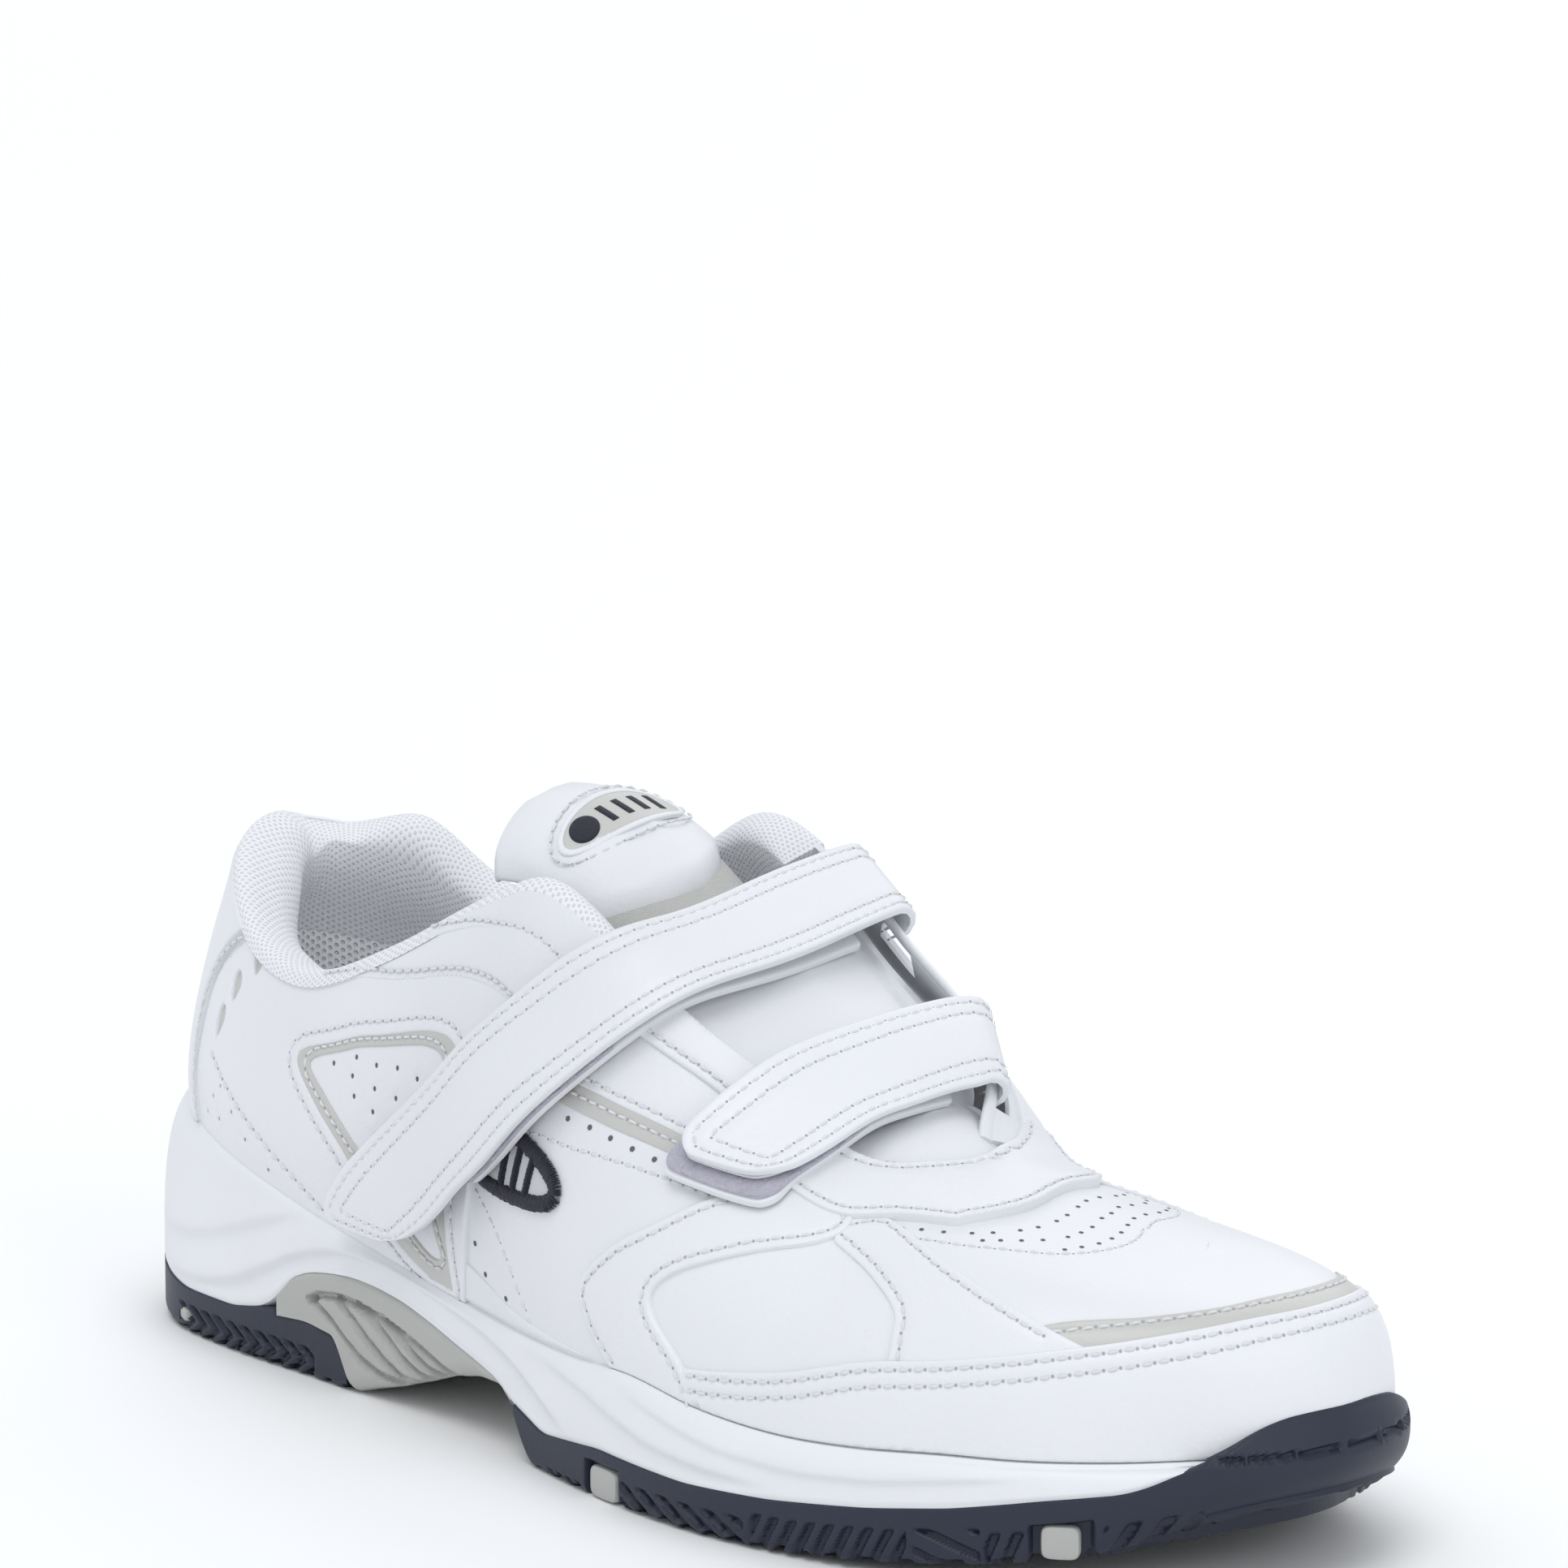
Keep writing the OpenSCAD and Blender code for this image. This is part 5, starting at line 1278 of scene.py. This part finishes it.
# Both edges of each strap as places (q, v), from its tip.
REAR = np.array([[[4.45, .1], [5.45, .13]], [[4.75, .27], [5.95, .21]], [[5.39, .44], [6.51, .31]],
                 [[6.15, .575], [7.09, .4]], [[7.05, .73], [7.79, .633]], [[7.51, .905], [8.22, .824]],
                 [[7.9, 1.08], [8.6, 1.02]], [[8.1, 1.3], [8.85, 1.25]], [[8.2, 1.55], [8.98, 1.5]],
                 [[8.28, 1.8], [9, 1.8]], [[8.3, 1.9], [9, 1.9]]])
FRONT = np.array([[[9.2, .645], [10.35, .68]], [[9.25, .75], [10.55, .75]], [[9.38, .85], [10.7, .85]],
                  [[9.5, 1], [10.82, .99]], [[9.6, 1.2], [10.9, 1.15]], [[9.62, 1.4], [10.9, 1.4]],
                  [[9.61, 1.65], [10.87, 1.65]], [[9.6, 1.8], [10.85, 1.8]], [[9.6, 1.9], [10.85, 1.9]]])
UPPER_LEAF = [[0, UPPER_AT], [1, UPPER_AT], [1.4, 4.6], [1.8, 3.6], [2, 3.5]]
LOWER_LEAF = [[0, STACK], [1, STACK], [1.3, .6], [1.7, -1.6], [1.85, -2.6], [2, -4.2]]


def along_rows(rows, x):
    """Catmull-Rom values of an array of rows at the real places x; the ends hold."""
    n = len(rows) - 1
    x = np.clip(x, 0, n)
    i = np.minimum(np.floor(x).astype(int), n - 1)
    f = (x - i).reshape(-1, *[1] * (rows.ndim - 1))
    a, b, c, d = (rows[np.clip(i + k, 0, n)] for k in (-1, 0, 1, 2))
    return catmull(a, b, c, d, f)


def even(rows):
    """Rows of points made a step apart."""
    run = run_of(rows[:, rows.shape[1] // 2])
    return along_rows(rows, np.interp(np.arange(0, run[-1] + 0.01, ROW_STEP), run, np.arange(len(rows))))


def relax(rows, times=1):
    """Smooths rows of points, in place; the end rows stay."""
    for _ in range(times):
        rows[1:-1] = rows[1:-1] * 0.5 + (rows[:-2] + rows[2:]) * 0.25


def ribbon(stations, low, fold=False):
    """The underside of a strap as rows of points from its tip. low is (v, distance) from the
    surface, and fold turns the strap over the keeper at its end."""
    edge = along_rows(np.asarray(stations, float), np.linspace(0, len(stations) - 1, 6 * len(stations)))
    w = np.linspace(0, 1, 9)[None, :, None]
    uv = edge[:, 0][:, None] * (1 - w) + edge[:, 1][:, None] * w
    d = look(low, edge[:, :, 1].mean(1))[:, None] + np.zeros(9)
    rows = even(OVER(uv, d.ravel()).reshape(*uv.shape[:2], 3))
    relax(rows, 22)
    if fold:
        q = np.asarray(stations[-1])[:, 0]
        a, b = head(look(MATES, q))
        axis, mid = unit(b - a), np.array([[q.mean(), 1.9]])
        n0 = OVER.normals(mid)[0]
        n = unit(n0 - axis * (n0 @ axis))
        on = np.cross(n, axis)
        line = a + n * FOLD_RISE + (b - a) * w[0]
        turn = [line + FOLD_R * (n * math.cos(t) + on * math.sin(t))
                for t in np.radians(np.linspace(0, 180, 19))]
        rows = np.concatenate([rows, turn])
        relax(rows)
    return even(rows)


class Ribbon(Chart):
    """A chart over a ribbon's rows: u across it from 0 to 1, v along it in rows."""

    def __init__(self, rows):
        self.rows = rows
        width = np.linalg.norm(rows[len(rows) // 2, -1] - rows[len(rows) // 2, 0])
        super().__init__(self.at, (width, ROW_STEP), 0.02, 0, len(rows) - 1)

    def at(self, uv):
        rows = along_rows(self.rows, uv[:, 1])
        n = rows.shape[1] - 1
        i = np.minimum(np.floor(np.clip(uv[:, 0], 0, 1) * n).astype(int), n - 1)
        k = np.arange(len(uv))
        f = (uv[:, 0] * n - i)[:, None]
        return rows[k, i] * (1 - f) + rows[k, i + 1] * f


def strap(name, line, mat, thick, body, replaces, slot="white_leather", tip=4.0, rough=0.0, seams=()):
    """A strap on a ribbon, with a rounded tip and rounded edges. rough roughens its top, and seams
    are the distances of its rows of stitches from the edge."""
    chart = Ribbon(line)
    length, wide = len(line) - 1, chart.size[0]
    v = np.concatenate([np.array([0, .25, .6, 1.1, 1.8, 2.6, 3.6, 4.8]) / ROW_STEP,
                        np.arange(4, length, 0.5 if rough else 1.0)])
    near = np.array([0, .12, .4, .9, 1.5, 2.6]) / wide
    middle = np.linspace(near[-1], 1 - near[-1], 44 if rough else 20)[1:-1]
    u = np.concatenate([near, middle, 1 - near[::-1]])
    run = v[:, None] * ROW_STEP
    round_tip = tip - np.sqrt(np.maximum(tip ** 2 - (tip - run) ** 2, 0))
    inset = np.minimum(np.where(run < tip, round_tip, 0) / wide, 0.45)
    uu = inset + (1 - 2 * inset) * u
    uv = np.stack([uu.ravel(), (v[:, None] + 0 * uu).ravel()], 1)
    side = np.minimum(np.minimum(u, 1 - u) * wide * (1 - 2 * inset), run)
    rear = (length - v[:, None]) * ROW_STEP + (2 if body == "shoe" else 0.6)
    bow = np.sqrt(1 - (1 - np.clip(np.minimum(side, rear) / 0.8, 0, 1)) ** 2)
    top = thick * (0.6 + 0.4 * bow)
    for off in seams:
        top = top - 0.2 * np.exp(-((side - off) / 0.8) ** 2)
    if rough:
        top = top + rng.normal(0, rough, top.shape)
    over, under = (chart(uv, d.ravel()).reshape(*uu.shape, 3) for d in (top, 0 * top))
    piece(name, *shell(over, under), mat, body, slot, replaces, uv=np.tile(uv * chart.size, (2, 1)))
    for off in seams:
        r = max(tip - off, 1.0)
        arc = [((off + r - r * math.cos(t)) / wide, (off + r - r * math.sin(t)) / ROW_STEP)
               for t in np.radians(np.arange(0, 91, 15))]
        half = [(off / wide, length - 0.3)] + arc
        path = np.array(half + [(1 - x, y) for x, y in half[::-1]])
        thread(chart, resample(chart, path), thick - 0.12, body, 2.7)


def resample(chart, path):
    """A path of places with points about 0.7 mm apart."""
    path = np.asarray(path, float)
    line = chart(path)
    out = []
    for k in range(len(path) - 1):
        n = max(1, int(np.linalg.norm(line[k + 1] - line[k]) / 0.7))
        out.append(path[k] + (path[k + 1] - path[k]) * (np.arange(n) / n)[:, None])
    return np.concatenate(out + [path[-1:]])


front_way, rear_way = (ribbon(edges, UPPER_LEAF, True) for edges in (FRONT, REAR))
for end, line, tip in (("front", front_way, 6), ("rear", rear_way, 5.5)):
    strap(end + "_strap", line, STRAP, STRAP_T, end + "_strap", [end + "_strap_upper"], tip=tip,
          seams=(1.9, 4.6))


def part(stations, i, j, draw=0.0):
    """Stations i to j with both edges drawn in by a share of the width."""
    rows = np.array(stations[i:j + 1])
    return np.stack([rows[:, 0] + (rows[:, 1] - rows[:, 0]) * draw,
                     rows[:, 1] + (rows[:, 0] - rows[:, 1]) * draw], 1)


front_low = np.concatenate([[[[9.05, .58], [10.45, .62]]], part(FRONT, 0, 6, .02),
                            [[[9.62, 1.76], [10.83, 1.76]]]])
rear_low = np.concatenate([part(REAR, 2, 9, .02), [[[8.3, 1.87], [8.98, 1.87]]]])
front_pile = np.concatenate([[[[9.09, .60], [10.42, .63]]], part(FRONT, 0, 3, .02)])
rear_pile = part(REAR, 2, 5, .02)
for end, line in (("front", front_low), ("rear", rear_low)):
    strap(end + "_strap_base", ribbon(line, LOWER_LEAF), STRAP, STRAP_T, "shoe", [end + "_strap_lower"])
for end, line in (("front", front_pile), ("rear", rear_pile)):
    strap(end + "_pile", ribbon(line, [[0, PILE_AT - .3], [2, PILE_AT - .3]]), PILE, 0.85, "shoe",
          [end + "_loop_pile"], "loop_pile", rough=0.09)
for end, line in (("front", part(FRONT, 0, 2, .07)), ("rear", part(REAR, 2, 4, .07))):
    strap(end + "_hooks", ribbon(line, [[0, UPPER_AT - .8], [2, UPPER_AT - .8]]), HOOK, 0.5,
          end + "_strap", [end + "_hook_patch"], "hook_tape", rough=0.04)

# ---- the collar, the lining and the tongue ---------------------------------------------------

LINING_IN, LINING_OUT = -7.3, -6.3


def swept(name, s, profile, mat, slot, replaces):
    """A closed section for each rib s; profile gives its (t, d) pairs for a rib."""
    rows = []
    for rib in s:
        td = np.array(profile(rib))
        rows.append(SIDE(np.stack([np.full(len(td), rib), td[:, 0]], 1), td[:, 1]))
    rows = np.array(rows)
    relax(rows, 2)
    verts, faces = loft(rows)
    down = np.concatenate([[0], np.cumsum(np.linalg.norm(np.diff(rows, axis=1), axis=2).mean(0))])
    uv = np.stack(np.meshgrid(run_of(rows[:, 12]), down, indexing="ij"), -1).reshape(-1, 2)
    return piece(name, verts, [f[::-1] for f in faces], mat, slot=slot, replaces=replaces, sharp=60, uv=uv)


# How much higher than the ribs the collar's padding rises, in millimetres.
LOBES = [[-7.4, -12], [-6.9, -6], [-6.4, -1.5], [-6, 0], [-3.1, 0], [-2.9, .5], [-2.75, 2], [-2.5, 6.5],
         [-2.25, 11], [-2, 9.8], [-1.75, 6], [-1.5, 2], [-1.25, -1.5], [-1, -2.6], [-.75, -2.8], [-.45, -2.6],
         [-.1, -.6], [.2, .6], [.6, .6], [1, 0], [5.6, 0], [6.3, .9], [6.9, 1.5], [7.4, 1.2], [7.9, .5]]
# How far the roll swells into the shoe, beyond the lining.
PLUMP = [[-4, 0], [-3, 1.5], [-2.4, 3.2], [-1, 3.2], [0, 2.6], [.5, 3.5], [1.5, 5.9], [2.5, 5], [3, 3],
         [4, .3], [5, 0]]


def collar_profile(s):
    """The padded roll of the collar: down the outside, over the top and down the inside."""
    foot, _, _, top = (p[0] for p in rib_points(s))
    mm = 1 / np.linalg.norm(top - foot)
    plump = curved(PLUMP, s, 0.3)
    slope = smooth(s, -0.8, -0.1) * (1 - smooth(s, 2.2, 3.4))
    low = 1 - 3.6 * mm
    lift = (look(LOBES, s) + look(LOBES, s - 0.15) + look(LOBES, s + 0.15)) / 3 * mm
    inner = LINING_IN - plump
    mid, half = (1.55 + inner) / 2, (1.55 - inner) / 2
    arc = []
    for a in np.linspace(0.02, math.pi - 0.02, 19):
        c = math.cos(a)
        side = mid + half * math.copysign(abs(c) ** 0.8, c)
        rise = (3.4 * mm + lift * (1.0 if lift < 0 else 0.6)) * math.sin(a) ** 0.8
        arc.append((1 - 2.2 * mm + rise - 5.5 * mm * slope * ((1 - c) / 2) ** 1.4, side))
    out = [(low, 0.3), (low + .3 * mm, 1.2), (low + 1.2 * mm, 1.55), (1 - 3.2 * mm + min(lift, 0), 1.6)]
    return out + arc + [(1 - (9 + 4 * slope) * mm, inner), (1 - 17 * mm, LINING_IN - 0.3 * plump),
                        (1 - 24 * mm, LINING_IN - .1), (1 - 24 * mm, LINING_IN + 0.6),
                        (1 - 10 * mm, -5.8), (1 - 5 * mm + min(lift, 0), -4)]


collar = swept("collar_roll", np.linspace(-6.6, 7.88, 250), collar_profile, KNIT, "knit_lining",
               ["collar_binding"])


base_layer("inner_lining", SIDE, (-8.4, 8.4, 150), (.02, .90, 40), LINING_OUT, LINING_IN, LINING,
           "knit_lining", ["collar_lining", "collar_foam"])

# The top of the tongue as (x, height, half width, forward lean of the side, rise of the side).
MID = np.array([[-51, 111.5, 9, 0, 0], [-50, 112.6, 11.8, 0, 0], [-48, 113.5, 14.5, 0, 0],
                [-42, 115.2, 18.5, 0, 0], [-32, 115.4, 20, 0, 0], [-20, 111.5, 20, 1.5, 1],
                [-8, 105.6, 18.8, 3, 2], [1, 101.2, 18, 4.4, 3], [6.5, 98.7, 17.4, 4.5, 3.3]])
PAD_T = 7.0


def tongue_row(x):
    """The rows of MID at the places x along it."""
    return along_rows(MID, np.interp(x, MID[:, 0], np.arange(len(MID))))


def tongue_point(r, w, d):
    """A point of the tongue's top from a row of MID, w from -1 to 1 across it and depth d."""
    z = r[1] + r[4] * w - 9 * w * w + d
    return np.stack([r[0] - r[3] * w, -1 + r[2] * w, z], -1)


def tongue_form(x0, x1, high, low, draw, ends):
    """A padded form over the rows of MID from x0 to x1, between heights high and low. draw holds
    how far the lateral and medial corners of its front edge are drawn back, and ends how much of
    its thickness is left at its two ends."""
    rows = []
    for f in 0.5 - 0.5 * np.cos(np.linspace(0, math.pi, 60)):
        x = x0 + (x1 - x0) * f
        near = min(1.0, (x - x0) / 4.0), min(1.0, (x1 - x) / 3.0)
        share = min(e + (1 - e) * math.sqrt(1 - (1 - n) ** 2) for e, n in zip(ends, near))
        section = []
        for a in np.linspace(-90, 270, 80, endpoint=False):
            c, s = math.cos(math.radians(a)), math.sin(math.radians(a))
            d = (high + low) / 2 + (high - low) / 2 * math.copysign(abs(s) ** 0.6, s) * share
            w = math.copysign(abs(c) ** 0.3, c)
            at = x - draw[int(w > 0)] * abs(w) ** 1.9 * smooth(f, 0.2, 1)
            row = tongue_row(np.array([at]))[0]
            row[0] = at
            section.append(tongue_point(row, w, d))
        rows.append(section)
    verts, faces = loft(np.array(rows))
    return verts, [f[::-1] for f in faces]


tongue_top = piece("tongue_top_pad", *tongue_form(-51, -4, 0.7, -9.5, (11, 19), (0.45, 0.3)), WHITE,
                   "tongue_top", "white_leather", ["tongue_top_shell", "tongue_foam"], sharp=60)
piece("tongue_cloth", *tongue_form(-24, 6.5, -2.2, -PAD_T, (0, 0), (0.5, 0.5)), TONGUE, "tongue_top",
      "tongue_textile", ["tongue_lining"], sharp=60)


def pad_points(uv):
    """Places (x, y) in millimetres on top of the tongue's pad."""
    x, y = uv[:, 0], uv[:, 1]
    r = tongue_row(x)
    w = (y + 1) / r[:, 2]
    return np.stack([x, y, r[:, 1] + r[:, 4] * w - 9 * w * w + 0.7], 1)


PAD = Chart(pad_points, (1, 1), 0.05, -30, 30)


def oval(cx, cy, rx, ry, n=20):
    """Places round an ellipse."""
    return [(cx + rx * math.cos(a), cy + ry * math.sin(a)) for a in circle(n)]


LABEL = (-24.5, -4.0)
panel("tongue_label_field", oval(*LABEL, 5.0, 13.6), GREY, chart=PAD, height=0.35, base=-0.1, spacing=2.0,
      slot="grey_leather", body="tongue_top", low=-0.4, replaces=["tongue_label"])
panel("tongue_label_rim", oval(*LABEL, 5.9, 14.5), WHITE, chart=PAD, height=0.55, base=0, spacing=2.0,
      cutouts=[oval(*LABEL, 4.8, 13.4)], body="tongue_top", low=-0.4)
sew(oval(*LABEL, 7.7, 15.8), 0.4, chart=PAD, closed=True, body="tongue_top")
panel("tongue_mark", oval(LABEL[0], LABEL[1] - 8.8, 2.9, 2.9, 16), NAVY_THREAD, chart=PAD, height=0.3,
      base=0.2, spacing=1.5, body="tongue_top", slot="navy_thread", low=0.1)
for k in range(4):
    y = LABEL[1] - 3.6 + 3.8 * k
    bar = [(LABEL[0] - 2.4, y - .9, 1), (LABEL[0] + 2.4, y - .2, 1), (LABEL[0] + 2.4, y + 1.2, 1),
           (LABEL[0] - 2.4, y + .5, 1)]
    panel("tongue_bar_%d" % k, bar, NAVY_THREAD, chart=PAD, height=0.3, base=0.2, spacing=1.5,
          body="tongue_top", slot="navy_thread", low=0.1)
# How far the tongue under the straps is from the surface over them, across the throat.
CROWN_LOW = [[0, -1.8], [.5, -2.2], [.8, -4], [.9, -5.5], [1, -6]]
u, w = np.meshgrid(np.linspace(11.0, 8.3, 60), np.linspace(-.05, 1.0, 54), indexing="ij")
uv = np.stack([u.ravel(), 1 + w.ravel()], 1)
puff = 1.3 * np.sin(np.clip((w - .1) / .8, 0, 1) * math.pi) * (1 - 0.5 * smooth(u, 10.2, 10.9))
deep = look(CROWN_LOW, w)
rows = (OVER(uv, d.ravel()).reshape(*w.shape, 3) for d in (deep + puff, deep - 3))
piece("tongue_body", *shell(*rows, flip=True), WHITE, slot="white_leather", replaces=["tongue_base"])


def spaced(line):
    """60 points evenly along a polyline."""
    run = run_of(line)
    return along_line(line, run, np.linspace(0, run[-1], 60))


def build_tongue_front():
    """The tongue ahead of the front strap, tucked under the leather round the throat."""
    w = np.linspace(0.0, 1.0, 60)
    crown = look(CROWN_LOW, w) + 0.6 * np.sin(math.pi * w)
    rear = spaced(OVER(np.stack([0 * w + 10.75, 1 + w], 1), crown))
    hem = curve([(-.26, .87), (-.13, .865), (-.02, .875), (.05, .92), (.085, .985), (.075, 1.04), (.03, 1.11),
                 (-.05, 1.16), (-.2, 1.2)], VAMP)
    front = spaced(VAMP(hem, -2.0))
    f = np.linspace(0, 1, 40)[:, None, None]
    rows = rear * (1 - f) + front * f
    rows[:, :, 2] += 2.4 * np.sin(math.pi * f[:, :, 0]) * np.sin(math.pi * w)
    return shell(rows, rows - [0, 0, 2.2])


piece("tongue_front", *build_tongue_front(), WHITE, slot="white_leather", sharp=60)

# ---- the badge ----------------------------------------------------------------------------

HUB = np.array([7.05, .385])


def badge_ring(out):
    """Places round the badge, moved out by a distance in millimetres."""
    a = circle(26)[:, None]
    hub = np.tile(HUB, (26, 1))
    n0 = SIDE.normals(hub)
    level_way = np.array([1.0, 0, -0.08])
    ahead = unit(level_way - n0 * (n0 @ level_way)[:, None])
    up = np.cross(n0, ahead)
    return SIDE.shift(hub, ahead * (14.5 + out) * np.cos(a) + up * (5.3 + out) * np.sin(a)).tolist()


panel("badge_field", badge_ring(0.4), SATIN, height=0.55, base=0.1, spacing=2, low=-0.1,
      slot="white_leather")


# The rings of one thread of the badge: where along it, how high, and its radius.
SATIN_RINGS = ((-1, -.5, .12), (-.85, .05, .27), (-.4, .32, .3), (.4, .32, .3), (.85, .05, .27),
               (1, -.5, .12))


def embroidery(name, places, wide, d):
    """A raised satin stitch border: thin threads laid side by side across a path of places."""
    path = resample(SIDE, places)
    line = SIDE(path, d)
    run = run_of(line)
    at = np.arange(0, run[-1], 0.42)
    mid = along_line(line, run, at)
    along = unit(np.gradient(mid, axis=0))
    nrm = SIDE.normals(along_line(path, run, at))
    across = np.cross(nrm, along)
    across = unit(across + 0.18 * along + rng.normal(0, 0.03, across.shape))
    parts = []
    for m, t, n in zip(mid, across, nrm):
        b, w = np.cross(n, t), wide / 2 * (1 + rng.normal(0, 0.05))
        a = circle(5)[:, None]
        rings = [m + t * f * w + n * h + r * (b * np.cos(a) + n * np.sin(a)) for f, h, r in SATIN_RINGS]
        parts.append(loft(np.array(rings)))
    return piece(name, *merged(parts), NAVY_THREAD, slot="navy_thread", sharp=180)


border = badge_ring(0.2)
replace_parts(embroidery("badge_ring", border + border[:1], 3.3, 0.75), "side_badge")
for k in range(3):
    s0 = HUB[0] - 0.08 + 0.2 * k
    embroidery("badge_bar_%d" % k, [(s0 - .05, HUB[1] - .045), (s0 + .07, HUB[1] + .05)], 1.7, 0.85)

# ---- the keeper ---------------------------------------------------------------------------


def build_keeper():
    """A webbing rail along the medial edge of the throat, on three tabs; the straps fold on it."""
    a = circle(20)[None, :, None]
    c, s = np.cos(a), np.sin(a)

    def tube(places, d, wide, thick):
        line, n = SIDE(places, d)[:, None], SIDE.normals(places)[:, None]
        along = unit(np.gradient(line[:, 0], axis=0))[:, None]
        ring = line + n * s * thick + np.cross(along, n) * np.sign(c) * np.abs(c) ** 0.6 * wide
        return loft(ring)

    ribs = np.linspace(23.15, 27.45, 90)
    tucked = smooth(ribs, 27.15, 27.45)
    parts = [tube(np.stack([ribs, 0.984 - 0.05 * tucked], 1), 0.35 - 1.6 * tucked, 1.5, 0.7)]
    for s0, s1 in ((23.15, 23.6), (25.1, 25.9), (27.3, 27.45)):
        s, t = np.meshgrid(np.linspace(s0, s1, 16), np.linspace(0.83, 0.975, 14), indexing="ij")
        places = np.stack([s.ravel(), t.ravel()], 1)
        parts.append(shell(*(SIDE(places, d).reshape(16, 14, 3) for d in (0.8, -0.4))))
    return merged(parts)


piece("keeper_rail", *build_keeper(), STRAP, slot="white_leather", replaces=["medial_keeper"], sharp=60)


def finish_stitches():
    """The stitches of each body as one piece, and grey discs of painted shade at the needle holes between them
    as another.
    """
    for body, rows in STITCHES.items():
        piece("stitches_" + body, *stitch_mesh(rows), THREAD, body, "white_leather", sharp=180)
        mid, way, _, nrm = (np.concatenate(column) for column in zip(*rows))
        # Grey discs of painted shade at the needle holes.
        ring = rings_round(mid + way * STITCH_LENGTH * 0.66 - nrm * 0.02, nrm, way, 0.3, 6)
        piece("needle_hole_shade_" + body, ring.reshape(-1, 3), np.arange(len(mid) * 6).reshape(-1, 6), NEEDLE_SHADE,
              body, "white_leather")


finish_stitches()

# ---- the stage, the light and the camera ------------------------------------------------

room = bpy.data.meshes.new("floor")
room.from_pydata([(-9, -9, 0), (9, -9, 0), (9, 9, 0), (-9, 9, 0)], [], [(0, 1, 2, 3)])
floor = bpy.data.objects.new("floor", room)
room.materials.append(nodes_of("floor_paint", (0.95, 0.95, 0.95), 0.6)[0])
bpy.context.scene.collection.objects.link(floor)


def softbox(name, at, spread, strength):
    """A broad, distant light that shines from one side on the shoe and all of the floor."""
    light = bpy.data.lights.new(name, "SUN")
    light.angle, light.energy = math.radians(spread), strength
    obj = bpy.data.objects.new(name, light)
    bpy.context.scene.collection.objects.link(obj)
    obj.location = at
    obj.rotation_euler = (Vector((0, 0, 0.05)) - Vector(at)).to_track_quat("-Z", "Y").to_euler()


softbox("key", (0.25, -0.45, 1.1), 30, 0.72)
softbox("front", (1.3, -0.1, 0.8), 40, 0.30)
softbox("back", (-0.6, 1.0, 1.0), 40, 0.30)

world = bpy.data.worlds.new("studio")
world.use_nodes = True
backdrop = world.node_tree.nodes["Background"]
backdrop.inputs["Color"].default_value = (0.925, 0.96, 1.0, 1)
backdrop.inputs["Strength"].default_value = 0.81
bpy.context.scene.world = world
bpy.context.scene.view_settings.view_transform = "Standard"

lens = bpy.data.cameras.new("camera")
lens.lens, lens.sensor_width, lens.clip_start = 148.3, 36, 0.05
camera = bpy.data.objects.new("camera", lens)
bpy.context.scene.collection.objects.link(camera)
back = Vector((0.73692, -0.65311, 0.17434)).normalized()
right = Vector((0.6633, 0.7484, 0)).normalized()
camera.matrix_world = Matrix((right, back.cross(right), back)).transposed().to_4x4()
camera.location = (0.88355, -0.7679, 0.3283)
bpy.context.scene.camera = camera
